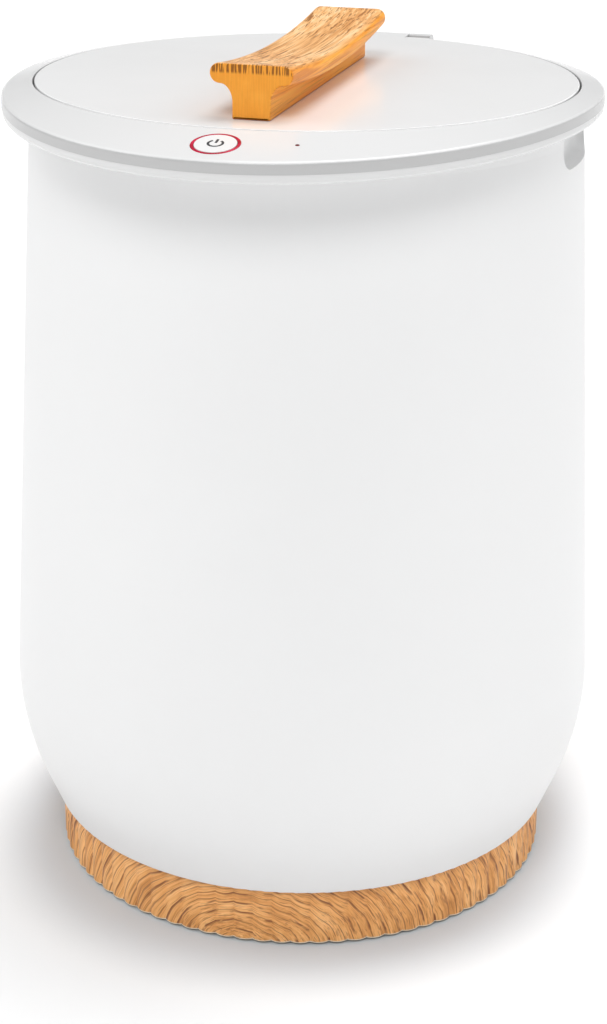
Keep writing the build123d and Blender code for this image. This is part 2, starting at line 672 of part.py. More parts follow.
def rim_ring():
    """Upper moulding: the sloping top, the lid opening with its ledge, and the hinge ears."""
    wall_foot = LID_OPENING_RADIUS + RIM_WALL
    cap = brim(LID_OPENING_RADIUS, 0, RIM_CAP_EDGE, 0)
    cap = fillet(outer_edges(cap, max), RIM_TOP_ROUND)
    cap -= brim(wall_foot, RIM_SKIN, RIM_CAP_EDGE + CUT, -RIM_WALL)
    cap += tube(wall_foot, LID_OPENING_RADIUS, BODY_TOP + SEAT_GAP, LID_TOP - RIM_SKIN)
    cap += tube(wall_foot, LEDGE_INNER_RADIUS, LEDGE_BOTTOM, LID_SEAT)
    cap += tube(wall_foot, BUCKET_FLANGE_RADIUS + PIECE_GAP, BODY_TOP + SEAT_GAP, (LEDGE_BOTTOM + LID_SEAT) / 2)
    mouth = [e for e in cap.edges().filter_by(GeomType.CIRCLE)
             if abs(e.center().Z - LID_TOP) < 0.01 and abs(e.radius - LID_OPENING_RADIUS) < 0.01]
    cap = fillet(mouth, LID_TOP_ROUND)
    for place in rim_screw_places():
        radius = hypot(*place)
        boss_low = rim_floor_top(radius - RIM_BOSS_RADIUS) + SEAT_GAP
        cap += disc(RIM_BOSS_RADIUS, boss_low, rim_top(radius) - RIM_SKIN / 2, place)
        cap -= disc(SCREW_RADIUS + RUNNING_GAP, BODY_TOP - LONG_CUT, rim_top(radius) - RIM_SKIN, place)
    cap = cap - hinge_notch() + hinge_ears()
    pin_hole = Pos(0, HINGE_REACH, HINGE_HEIGHT) * Rot(0, 90, 0) * Cylinder(
        HINGE_PIN_RADIUS + SEAT_GAP, HINGE_BARREL_LENGTH + LONG_CUT * 2)
    cap -= pin_hole
    panel = panel_plane(0, BUTTON_DISTANCE)
    ring_hole = BUTTON_RADIUS + SLIP_GAP + LIGHT_RING_WIDTH + SEAT_GAP
    cap -= panel * Cylinder(ring_hole, 3 * RIM_SKIN)
    lens = panel_plane(INDICATOR_AZIMUTH, INDICATOR_DISTANCE)
    return cap - lens * Cylinder(INDICATOR_RADIUS + SEAT_GAP, 3 * RIM_SKIN)


def hinge_notch():
    """Room in the rim for the lid's tongue."""
    half = HINGE_BARREL_LENGTH / 2 + HINGE_SIDE_GAP
    low = LID_TOP - HINGE_TONGUE_THICKNESS - HINGE_SWING_GAP
    return block((-half, half), (LID_RADIUS - CUT, HINGE_REACH + LONG_CUT), (low, LID_TOP + CUT))


def hinge_ears():
    """Two knuckles that carry the pin, clear of the tray below."""
    ears = None
    top = HINGE_HEIGHT + HINGE_BARREL_RADIUS
    bottom = HINGE_HEIGHT - HINGE_BARREL_RADIUS
    start = HINGE_BARREL_LENGTH / 2 + HINGE_SIDE_GAP
    root_low = rim_top(LID_OPENING_RADIUS + RIM_WALL) - RIM_CAP_EDGE + PIECE_GAP
    for side in (1, -1):
        span = sorted((side * start, side * (start + HINGE_EAR_LENGTH)))
        ear = block(span, (RIM_REAR_REACH + PIECE_GAP, HINGE_REACH), (bottom, top))
        ear += block(span, (LID_OPENING_RADIUS + RIM_WALL / 2, HINGE_REACH), (root_low, top - HINGE_ROOT_DROP))
        middle = (span[0] + span[1]) / 2
        ear += Pos(middle, HINGE_REACH, HINGE_HEIGHT) * Rot(0, 90, 0) * Cylinder(
            HINGE_BARREL_RADIUS, HINGE_EAR_LENGTH)
        ears = ear if ears is None else ears + ear
    return ears


def rim_tray():
    """Lower moulding: closes the rim from below and carries the control board."""
    inner = LID_OPENING_RADIUS + RIM_WALL + PIECE_GAP
    bottom = RIM_CAP_EDGE + RIM_TRAY_EDGE
    tray = brim(inner, RIM_CAP_EDGE + SEAT_GAP, bottom, -RIM_PARTING_STEP)
    tray = fillet(outer_edges(tray, min), RIM_BOTTOM_ROUND)
    tray -= brim(inner - CUT, 0, bottom - RIM_SKIN, -RIM_WALL - RIM_PARTING_STEP)
    tray -= disc(BODY_FLARE_RADIUS + PIECE_GAP, BODY_TOP - LONG_CUT, BODY_TOP + SEAT_GAP)
    for place in rim_screw_places():
        tray -= disc(SCREW_RADIUS + SLIP_GAP, BODY_TOP - LONG_CUT, LID_TOP, place)
        tray -= disc(SCREW_HEAD_RADIUS + SLIP_GAP, BODY_TOP - LONG_CUT, rim_head_seat(hypot(*place)), place)
    panel = panel_plane(0, BUTTON_DISTANCE)
    for x in (-BOARD_LEFT + BOARD_POST_RADIUS, BOARD_RIGHT - BOARD_POST_RADIUS):
        post = panel * disc(BOARD_POST_RADIUS, board_bottom() - RIM_SKIN - CUT, board_bottom(), (x, 0))
        tray += post & brim(inner, 0, bottom - RIM_SKIN / 2, -RIM_WALL)
    return tray


def rim_head_seat(radius):
    """Height where the head of a screw at a radius bears, inside its pocket in the tray's floor."""
    return rim_top(radius + SCREW_HEAD_RADIUS) - RIM_CAP_EDGE - RIM_TRAY_EDGE + RIM_HEAD_SUNK


def rim_screws():
    """Screws from below, through the tray into the upper moulding."""
    screws = []
    for place in rim_screw_places():
        radius = hypot(*place)
        seat = rim_head_seat(radius)
        length = rim_top(radius) - RIM_SKIN - RIM_HEAD_SUNK - seat
        screws.append(pan_screw(place, seat - SEAT_GAP, length=length))
    return screws


def rim_seal():
    """Silicone ring between the bucket's flange and the rim's ledge."""
    inner = BUCKET_FLANGE_RADIUS - RIM_SEAL_WIDTH
    return tube(BUCKET_FLANGE_RADIUS - PIECE_GAP, inner, BUCKET_TOP, LEDGE_BOTTOM)


def lid_top():
    """Outer moulding of the lid: skin, stepped skirt, liner posts and the hinge tongue."""
    step_low = LID_BOTTOM + LID_STEP_HEIGHT
    skirt_inner = LID_RADIUS - LID_STEP - LID_SKIRT
    lid = turned([
        (0, LID_TOP),
        (LID_RADIUS, LID_TOP),
        (LID_RADIUS, step_low),
        (LID_RADIUS - LID_STEP, step_low),
        (LID_RADIUS - LID_STEP, LID_BOTTOM),
        (skirt_inner, LID_BOTTOM),
        (skirt_inner, LID_TOP - LID_SKIN),
        (0, LID_TOP - LID_SKIN),
    ])
    edge = lid.edges().filter_by(GeomType.CIRCLE).group_by(Axis.Z)[-1]
    lid = fillet(edge, LID_TOP_ROUND)
    for place in around(LID_POST_CIRCLE, LID_POST_COUNT, LID_POST_START):
        lid += disc(LID_POST_RADIUS, LINER_BOTTOM + LINER_WALL + SEAT_GAP, LID_TOP - LID_SKIN / 2, place)
        lid -= disc(SCREW_RADIUS + RUNNING_GAP, LINER_BOTTOM - CUT, LINER_BOTTOM + SCREW_LENGTH + CUT, place)
    half = HINGE_BARREL_LENGTH / 2
    lid += block((-half, half), (LID_RADIUS - LID_SKIRT, HINGE_REACH),
                 (LID_TOP - HINGE_TONGUE_THICKNESS, LID_TOP - HINGE_TOP_DROP))
    centre = Pos(0, HINGE_REACH, HINGE_HEIGHT) * Rot(0, 90, 0)
    lid += centre * Cylinder(HINGE_BARREL_RADIUS, HINGE_BARREL_LENGTH)
    lid += block((-half, half), (HINGE_REACH, HINGE_REACH + HINGE_STOP_THICKNESS),
                 (HINGE_HEIGHT - lid_stop_reach(), HINGE_HEIGHT))
    lid -= centre * Cylinder(HINGE_PIN_RADIUS + RUNNING_GAP, HINGE_BARREL_LENGTH + CUT)
    for place in handle_screw_places():
        lid -= disc(HANDLE_SCREW_RADIUS + SLIP_GAP, LID_TOP - LID_SKIN - CUT, LID_TOP + CUT, place)
    return lid


def lid_stop_reach():
    """How far the barrel's heel stands off the axis, to meet the rim just as the lid is fully open."""
    past_upright = radians(LID_OPEN_ANGLE - 90)
    room = HINGE_REACH - RIM_REAR_REACH - SEAT_GAP
    return (room - HINGE_STOP_THICKNESS * sin(past_upright)) / cos(past_upright)


def lid_liner():
    """Drawn aluminium pan that faces the towels, with a flange inside the lid's skirt."""
    flange_radius = LID_RADIUS - LID_STEP - LID_SKIRT - PIECE_GAP
    pans = []
    for inset, top in ((0, LID_BOTTOM), (LINER_WALL, LID_BOTTOM + LINER_WALL + CUT)):
        wall = FilletPolyline(
            (0, 0, LINER_BOTTOM + inset),
            (LINER_RADIUS - inset, 0, LINER_BOTTOM + inset),
            (LINER_RADIUS - inset, 0, top),
            radius=LINER_CORNER - inset,
        )
        closing = Polyline((LINER_RADIUS - inset, 0, top), (0, 0, top), (0, 0, LINER_BOTTOM + inset))
        pans.append(revolve(make_face([wall, closing]), Axis.Z))
    liner = pans[0] + tube(flange_radius, 0, LID_BOTTOM, LID_BOTTOM + LINER_WALL) - pans[1]
    for place in around(LID_POST_CIRCLE, LID_POST_COUNT, LID_POST_START):
        liner -= disc(SCREW_RADIUS + SLIP_GAP, LINER_BOTTOM - CUT, LINER_BOTTOM + LINER_WALL + CUT, place)
    return liner


def lid_insulation():
    """Foam disc between the liner and the skin, bored for the posts and the handle's screws."""
    low = LINER_BOTTOM + LINER_WALL + SEAT_GAP
    high = LID_TOP - LID_SKIN - SEAT_GAP
    foam = disc(LINER_RADIUS - LINER_WALL - PIECE_GAP, low + LINER_CORNER, high)
    foam += disc(LINER_RADIUS - LINER_CORNER - LINER_WALL, low, low + LINER_CORNER + CUT)
    for place in around(LID_POST_CIRCLE, LID_POST_COUNT, LID_POST_START):
        foam -= disc(LID_POST_RADIUS + PIECE_GAP, low - CUT, high + CUT, place)
    for place in handle_screw_places():
        head_low = high - SCREW_HEAD_HEIGHT - PIECE_GAP
        foam -= disc(HANDLE_SCREW_HEAD_RADIUS + PIECE_GAP, head_low, high + CUT, place)
    return foam


def lid_seal():
    """Silicone ring under the lid's skirt that rests on the rim's ledge."""
    outer = LID_RADIUS - LID_STEP
    return tube(outer, outer - LID_SEAL_WIDTH, LID_SEAT, LID_BOTTOM)


def liner_screws():
    """Screws through the liner's face into the lid's posts."""
    return [pan_screw(place, LINER_BOTTOM, length=SCREW_LENGTH)
            for place in around(LID_POST_CIRCLE, LID_POST_COUNT, LID_POST_START)]


def handle_screw_places():
    """The two screws on the handle's centre line."""
    return [(HANDLE_ASIDE, -HANDLE_FORWARD + side * HANDLE_SCREW_SPACING / 2) for side in (-1, 1)]


def handle_screws():
    """Screws from inside the lid up into the handle."""
    return [pan_screw(place, LID_TOP - LID_SKIN, length=HANDLE_SCREW_LENGTH,
                      radius=HANDLE_SCREW_RADIUS, head=HANDLE_SCREW_HEAD_RADIUS)
            for place in handle_screw_places()]


def handle():
    """T-shaped wooden bar. Its wings and its top follow one dished curve from end to end."""
    half = HANDLE_LENGTH / 2
    dish_radius = (half ** 2 + HANDLE_DISH ** 2) / (2 * HANDLE_DISH)
    wing_radius = dish_radius + HANDLE_WING
    cove_radius = wing_radius + HANDLE_COVE
    centre = Pos(0, 0, HANDLE_END_HEIGHT - HANDLE_DISH + dish_radius)
    crosswise = centre * Rot(0, 90, 0)
    stem_half = HANDLE_STEM_WIDTH / 2
    cove_half = stem_half + HANDLE_COVE
    wing_half = HANDLE_WIDTH / 2
    stem_high = HANDLE_END_HEIGHT - HANDLE_WING + HANDLE_COVE
    wing = block((-wing_half, wing_half), (-half, half), (0, HANDLE_END_HEIGHT))
    wing &= crosswise * Cylinder(wing_radius, HANDLE_WIDTH)
    stem = block((-stem_half, stem_half), (-half, half), (0, stem_high))
    cove = block((-cove_half, cove_half), (-half, half), (0, stem_high))
    cove &= crosswise * Cylinder(cove_radius, HANDLE_WIDTH)
    ring = Solid.make_torus(cove_radius, HANDLE_COVE)
    for side in (1, -1):
        cove -= Pos(side * cove_half, 0, 0) * crosswise * ring
    bar = wing + stem + cove - crosswise * Cylinder(dish_radius, HANDLE_WIDTH + CUT)
    edges = [e for e in bar.edges()
             if abs(abs(e.center().X) - wing_half) < SEAT_GAP and e.length > half]
    bar = fillet(edges, HANDLE_EDGE_ROUND)
    for x, y in handle_screw_places():
        at = (x - HANDLE_ASIDE, y + HANDLE_FORWARD)
        bar -= disc(HANDLE_SCREW_RADIUS + RUNNING_GAP, -CUT, HANDLE_SCREW_LENGTH + CUT, at)
    return Pos(HANDLE_ASIDE, -HANDLE_FORWARD, LID_TOP) * bar


def hinge_pin():
    """Steel pin through the ears and the lid's barrel."""
    length = HINGE_BARREL_LENGTH + 2 * (HINGE_SIDE_GAP + HINGE_EAR_LENGTH) - HINGE_PIN_SHORT
    pin = Rot(0, 90, 0) * Cylinder(HINGE_PIN_RADIUS, length)
    pin = chamfer(pin.edges().filter_by(GeomType.CIRCLE), HINGE_PIN_RADIUS * 0.3)
    return Pos(0, HINGE_REACH, HINGE_HEIGHT) * pin


def panel_plane(azimuth, distance):
    """Plane that lies on the rim's sloping top, its Z axis square to the slope."""
    turn = radians(azimuth)
    slope = radians(RIM_SLOPE)
    origin = (distance * sin(turn), -distance * cos(turn), rim_top(distance))
    normal = (sin(slope) * sin(turn), -sin(slope) * cos(turn), cos(slope))
    return Plane(origin=origin, x_dir=(cos(turn), sin(turn), 0), z_dir=normal)


def skin_bottom():
    """Underside of the rim's skin, measured square to the panel."""
    return -RIM_SKIN * cos(radians(RIM_SLOPE))


def board_bottom():
    """Underside of the control board, measured square to the panel."""
    room = (RIM_CAP_EDGE + RIM_TRAY_EDGE - RIM_SKIN) * cos(radians(RIM_SLOPE))
    return -room + BOARD_RAISED


def spool(steps):
    """A turned piece from a stack of (outer, inner, low, high) rings."""
    piece = None
    for outer, inner, low, high in steps:
        ring = tube(outer, inner, low, high)
        piece = ring if piece is None else piece + ring
    return piece


def light_ring():
    """Red light guide round the button, with a lip under the skin."""
    bore = BUTTON_RADIUS + SLIP_GAP
    outer = bore + LIGHT_RING_WIDTH
    under = skin_bottom()
    flange_room = BUTTON_RADIUS + BUTTON_FLANGE + SLIP_GAP
    lip_high = under - SLIP_GAP
    ring = spool([
        (outer, bore, under, 0),
        (outer, flange_room, lip_high - LIGHT_RING_LIP_THICKNESS, under),
        (outer + LIGHT_RING_LIP, flange_room, lip_high - LIGHT_RING_LIP_THICKNESS, lip_high),
    ])
    return panel_plane(0, BUTTON_DISTANCE) * ring


def power_button():
    """Round key with a flange that the light ring keeps in."""
    under = skin_bottom() - SEAT_GAP
    cap = disc(BUTTON_RADIUS, under - BUTTON_FLANGE_THICKNESS, BUTTON_PROUD)
    top = cap.edges().filter_by(GeomType.CIRCLE).sort_by(Axis.Z)[-1]
    cap = fillet(top, BUTTON_PROUD * 0.8)
    cap += disc(BUTTON_RADIUS + BUTTON_FLANGE, under - BUTTON_FLANGE_THICKNESS, under)
    return panel_plane(0, BUTTON_DISTANCE) * cap


def switch_plunger():
    """The tact switch's stem, which the key rests on."""
    high = skin_bottom() - SEAT_GAP - BUTTON_FLANGE_THICKNESS
    low = board_bottom() + BOARD_THICKNESS + SWITCH_HEIGHT - PLUNGER_SUNK
    return panel_plane(0, BUTTON_DISTANCE) * disc(PLUNGER_RADIUS, low, high)


def tact_switch():
    """Square switch body with a well for its stem."""
    low = board_bottom() + BOARD_THICKNESS
    high = low + SWITCH_HEIGHT
    half = SWITCH_SIDE / 2
    body = block((-half, half), (-half, half), (low, high))
    body -= disc(PLUNGER_RADIUS + RUNNING_GAP, high - PLUNGER_SUNK - BUTTON_TRAVEL - PIECE_GAP, high + CUT)
    return panel_plane(0, BUTTON_DISTANCE) * body


def control_board():
    """Printed board under the button and the indicator."""
    low = board_bottom()
    half = BOARD_DEPTH / 2
    board = block((-BOARD_LEFT, BOARD_RIGHT), (-half, half), (low, low + BOARD_THICKNESS))
    board = fillet(board.edges().filter_by(Axis.Z), SMALL_ROUND)
    return panel_plane(0, BUTTON_DISTANCE) * board


def status_leds():
    """Surface-mounted LEDs: four under the light ring and one under the indicator."""
    low = board_bottom() + BOARD_THICKNESS
    half = LED_SIDE / 2
    radius = BUTTON_RADIUS + SLIP_GAP + LIGHT_RING_WIDTH / 2
    places = [(radius * cos(radians(t)), radius * sin(radians(t))) for t in LED_TURNS]
    lens = panel_plane(INDICATOR_AZIMUTH, INDICATOR_DISTANCE).origin
    local = panel_plane(0, BUTTON_DISTANCE).to_local_coords(lens)
    places.append((local.X, local.Y))
    panel = panel_plane(0, BUTTON_DISTANCE)
    return [panel * block((x - half, x + half), (y - half, y + half), (low, low + LED_HEIGHT))
            for x, y in places]


def indicator_lens():
    """Light pipe of the indicator dot, with a lip under the skin."""
    under = skin_bottom()
    lip_low = under - SLIP_GAP - LIGHT_RING_LIP_THICKNESS
    lens = disc(INDICATOR_RADIUS, lip_low, 0)
    lens += disc(INDICATOR_RADIUS + INDICATOR_LIP, lip_low, under - SLIP_GAP)
    return panel_plane(INDICATOR_AZIMUTH, INDICATOR_DISTANCE) * lens


def power_post_places():
    """The four posts under the power board's corners."""
    x = POWER_BOARD_LENGTH / 2 - POWER_POST_INSET
    y = POWER_BOARD_WIDTH / 2 - POWER_POST_INSET
    return [(sx * x, sy * y) for sx in (1, -1) for sy in (1, -1)]


def power_board_top():
    """Upper face of the power board."""
    return PLATE_TOP + POWER_POST_HEIGHT + POWER_BOARD_THICKNESS


def power_board():
    """Mains board on its four posts."""
    low = PLATE_TOP + POWER_POST_HEIGHT
    board = block((-POWER_BOARD_LENGTH / 2, POWER_BOARD_LENGTH / 2),
                  (-POWER_BOARD_WIDTH / 2, POWER_BOARD_WIDTH / 2), (low, power_board_top()))
    for place in power_post_places():
        board -= disc(SCREW_RADIUS + SLIP_GAP, low - CUT, power_board_top() + CUT, place)
    return board


def board_screws():
    """Screws that hold the power board down."""
    return [pan_screw(place, power_board_top(), length=POWER_POST_HEIGHT, up=False)
            for place in power_post_places()]


def relay():
    """Sealed relay that switches the heaters."""
    body = on_board(RELAY_SIZE, RELAY_PLACE, 0)
    return fillet(body.edges().filter_by(Axis.Z), SMALL_ROUND)


def on_board(size, place, raised):
    """A box of a size that stands on the power board at a place, or is raised above it."""
    base = Pos(place[0], place[1], power_board_top() + raised)
    return base * Box(*size, align=(Align.CENTER, Align.CENTER, Align.MIN))


def transformer():
    """Small transformer for the control side: a winding between two core legs."""
    winding_raised = (TRANSFORMER_CORE_SIZE[2] - TRANSFORMER_WINDING_SIZE[2]) / 2
    core = on_board(TRANSFORMER_CORE_SIZE, TRANSFORMER_PLACE, 0)
    return core + on_board(TRANSFORMER_WINDING_SIZE, TRANSFORMER_PLACE, winding_raised)


def capacitor():
    """Standing filter capacitor."""
    low = power_board_top()
    can = disc(CAPACITOR_RADIUS, low, low + CAPACITOR_HEIGHT, CAPACITOR_PLACE)
    return chamfer(can.edges().filter_by(GeomType.CIRCLE).sort_by(Axis.Z)[-1], SMALL_ROUND)


def terminal_block():
    """Screw terminals for the mains lead and the heaters, toward the gland."""
    high = power_board_top() + TERMINAL_HEIGHT
    x, y = TERMINAL_PLACE
    body = on_board((TERMINAL_WAYS * TERMINAL_PITCH, TERMINAL_DEPTH, TERMINAL_HEIGHT), TERMINAL_PLACE, 0)
    for i in range(TERMINAL_WAYS):
        at = (x + (i - (TERMINAL_WAYS - 1) / 2) * TERMINAL_PITCH, y)
        body -= disc(TERMINAL_WELL_RADIUS, high - TERMINAL_WELL_DEPTH, high + CUT, at)
    return body


SUB_PARTS = {
    "base_ring": base_ring,
    "base_plate": base_plate,
    "rubber_feet": rubber_feet,
    "base_screws": base_screws,
    "cord_gland": cord_gland,
    "body_shell": body_shell,
    "shell_screws": shell_screws,
    "inner_bucket": inner_bucket,
    "side_heater": side_heater,
    "side_insulation": side_insulation,
    "floor_heater": floor_heater,
    "floor_insulation": floor_insulation,
    "clamp_plate": clamp_plate,
    "clamp_nuts": clamp_nuts,
    "thermostat": thermostat,
    "thermal_fuse": thermal_fuse,
    "rim_ring": rim_ring,
    "rim_tray": rim_tray,
    "rim_screws": rim_screws,
    "rim_seal": rim_seal,
    "lid_top": lid_top,
    "lid_liner": lid_liner,
    "lid_insulation": lid_insulation,
    "lid_seal": lid_seal,
    "liner_screws": liner_screws,
    "handle": handle,
    "handle_screws": handle_screws,
    "hinge_pin": hinge_pin,
    "light_ring": light_ring,
    "power_button": power_button,
    "switch_plunger": switch_plunger,
    "tact_switch": tact_switch,
    "control_board": control_board,
    "status_leds": status_leds,
    "indicator_lens": indicator_lens,
    "power_board": power_board,
    "board_screws": board_screws,
    "relay": relay,
    "transformer": transformer,
    "capacitor": capacitor,
    "terminal_block": terminal_block,
}


def main():
    os.makedirs("parts", exist_ok=True)
    onto_origin = Pos(0, AXIS_BACK, 0)
    for name, make in SUB_PARTS.items():
        made = make()
        pieces = made if isinstance(made, list) else [made]
        solids = [onto_origin * piece.solid() for piece in pieces]
        shape = Compound(children=solids) if len(solids) > 1 else solids[0]
        export_step(shape, f"parts/{name}.step")
        print(name, "volume", round(shape.volume, 1))


main()
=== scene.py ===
# %% [markdown]
# # A bucket towel warmer, dressed in Blender
# The packed CAD model is the fixed frame: it says where every piece is and what moves.
# This script gives each piece its finish, remakes the pieces that need finer shapes than
# the solids have, and then sets up the floor, the light and the camera.

import math

import bpy
import numpy as np
from mathutils import Matrix, Vector


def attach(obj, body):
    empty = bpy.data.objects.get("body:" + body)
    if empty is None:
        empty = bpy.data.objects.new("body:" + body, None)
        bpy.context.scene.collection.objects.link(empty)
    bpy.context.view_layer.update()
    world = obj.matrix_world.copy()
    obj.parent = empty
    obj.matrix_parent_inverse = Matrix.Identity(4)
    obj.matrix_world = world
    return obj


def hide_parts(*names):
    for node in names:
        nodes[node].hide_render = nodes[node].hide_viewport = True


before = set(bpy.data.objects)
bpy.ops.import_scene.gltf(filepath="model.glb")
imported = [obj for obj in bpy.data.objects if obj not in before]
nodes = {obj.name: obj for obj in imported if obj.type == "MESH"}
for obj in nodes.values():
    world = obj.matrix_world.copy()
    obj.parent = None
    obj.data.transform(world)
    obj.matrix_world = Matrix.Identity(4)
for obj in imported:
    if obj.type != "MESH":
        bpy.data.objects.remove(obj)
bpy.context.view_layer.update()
print("nodes in the frame:", len(nodes))

# %% [markdown]
# ## Sizes
# Blender works in metres. These are the sizes that the new pieces share with the CAD model,
# so that a remade piece fills the place of the node it stands for.

# %% Sizes shared with the CAD model
MM = 0.001
AXIS_BACK = 8 * MM
LID_TOP = 421.5 * MM
LID_OPENING_RADIUS = 136.5 * MM
RIM_SLOPE = math.radians(11.5)
BODY_BOTTOM = 33 * MM
BODY_TOP = 411 * MM
SLIP_GAP = 0.2 * MM
print("lid top at", LID_TOP, "m; the barrel's axis stands", AXIS_BACK, "m behind the origin")


# %% [markdown]
# ## A mesh from a grid of points
# Every new piece is a surface worked out with numpy: a (rows, columns, 3) array of points.
# Blender could build such shapes from primitives and modifiers, but a formula says exactly
# where each point lies, and it can be read again later.

# %% Surfaces from grids
def grid_faces(rows, columns, wrap_rows, wrap_columns):
    """Corner numbers of the quads between neighbouring points of a grid, as an (n, 4) array."""
    r = np.arange(rows if wrap_rows else rows - 1)
    c = np.arange(columns if wrap_columns else columns - 1)
    r, c = [a.ravel() for a in np.meshgrid(r, c, indexing="ij")]
    r_next, c_next = (r + 1) % rows, (c + 1) % columns
    return np.stack([r * columns + c, r * columns + c_next,
                     r_next * columns + c_next, r_next * columns + c], 1)


def signed_volume(points, quads):
    """Six times the volume inside closed quads: positive when they face outwards."""
    a, b, c, d = [points[quads[:, k]] for k in range(4)]
    return float(np.sum(a * np.cross(b, c)) + np.sum(a * np.cross(c, d)))


def surface(name, points, wrap_rows=False, wrap_columns=False, ends=False):
    """A mesh object from a (rows, columns, 3) array. ends closes the first and last row with flat
    faces. Where the signed volume comes out negative, every face is turned round."""
    rows, columns = points.shape[:2]
    flat = points.reshape(-1, 3)
    quads = grid_faces(rows, columns, wrap_rows, wrap_columns)
    middle = flat.mean(0)
    inside_out = signed_volume(flat - middle, quads) < 0
    quads = quads[:, ::-1] if inside_out else quads
    faces = quads.tolist()
    if ends:
        first = np.arange(columns)
        last = (rows - 1) * columns + np.arange(columns)
        first, last = (first, last[::-1]) if inside_out else (first[::-1], last)
        faces += [first.tolist(), last.tolist()]
    mesh = bpy.data.meshes.new(name)
    mesh.from_pydata(flat.tolist(), [], faces)
    smooth = np.ones(len(faces), bool)
    if ends:
        smooth[-2:] = False
    mesh.polygons.foreach_set("use_smooth", smooth)
    mesh.update()
    piece = bpy.data.objects.new(name, mesh)
    bpy.context.scene.collection.objects.link(piece)
    return piece


def arc(centre, radius, start, end, count=6):
    """Points on a circle in the (radius, height) plane, from one angle in degrees to another."""
    turn = np.radians(np.linspace(start, end, count))
    return np.stack([centre[0] + radius * np.cos(turn), centre[1] + radius * np.sin(turn)], 1)


def profile(*parts):
    """One (n, 2) array from single points and arrays of points, in order."""
    return np.concatenate([np.atleast_2d(np.asarray(part, float)) for part in parts])


def finely(outline, step):
    """The outline with extra points on its long runs, so that no run is longer than the step."""
    spans = np.diff(outline, axis=0)
    counts = np.maximum(1, np.ceil(np.hypot(*spans.T) / step).astype(int))
    where = np.concatenate([[0.0], np.cumsum(np.ones(counts.sum()) / np.repeat(counts, counts))])
    known = np.arange(len(outline))
    return np.stack([np.interp(where, known, outline[:, k]) for k in range(2)], 1)


def round_steps(count):
    """Turns once round a circle in equal steps: step k is k 2 pi / count."""
    return np.arange(count) * 2 * math.pi / count


def turned(outline, columns):
    """Points of an outline of (radius, height), turned about the barrel's axis.
    A point is (r sin t, -r cos t, h) from the axis: t is the turn from the front."""
    turn = round_steps(columns)
    r, h = outline[:, :1], outline[:, 1:]
    return np.stack([r * np.sin(turn), AXIS_BACK - r * np.cos(turn), h + 0 * turn], 2)


print("a turned ring of 4 by 8 points has", len(grid_faces(4, 8, True, True)), "faces")


# %% [markdown]
# ## Shader maths that reads as maths
# A material's pattern is a formula. In the node editor each plus and times is a Math node.
# This small class wraps a socket, so that an ordinary Python expression adds those nodes.

# %% A number that varies over a surface
class Varying:
    """A number socket. Adding to it, multiplying it and so on each add a Math node."""

    def __init__(self, finish, socket):
        self.finish, self.socket = finish, socket

    def __add__(self, other):
        return self.finish.maths("ADD", self, other)

    def __sub__(self, other):
        return self.finish.maths("SUBTRACT", self, other)

    def __rsub__(self, other):
        return self.finish.maths("SUBTRACT", other, self)

    def __mul__(self, other):
        return self.finish.maths("MULTIPLY", self, other)

    def __truediv__(self, other):
        return self.finish.maths("DIVIDE", self, other)

    def __pow__(self, other):
        return self.finish.maths("POWER", self, other)

    def __abs__(self):
        return self.finish.maths("ABSOLUTE", self)

    __radd__, __rmul__ = __add__, __mul__


# %% [markdown]
# ## One finish, one material
# `node` is the only way a node is made here: its type, its settings, and the values or links
# of its sockets. The other methods name the few patterns that most finishes share.

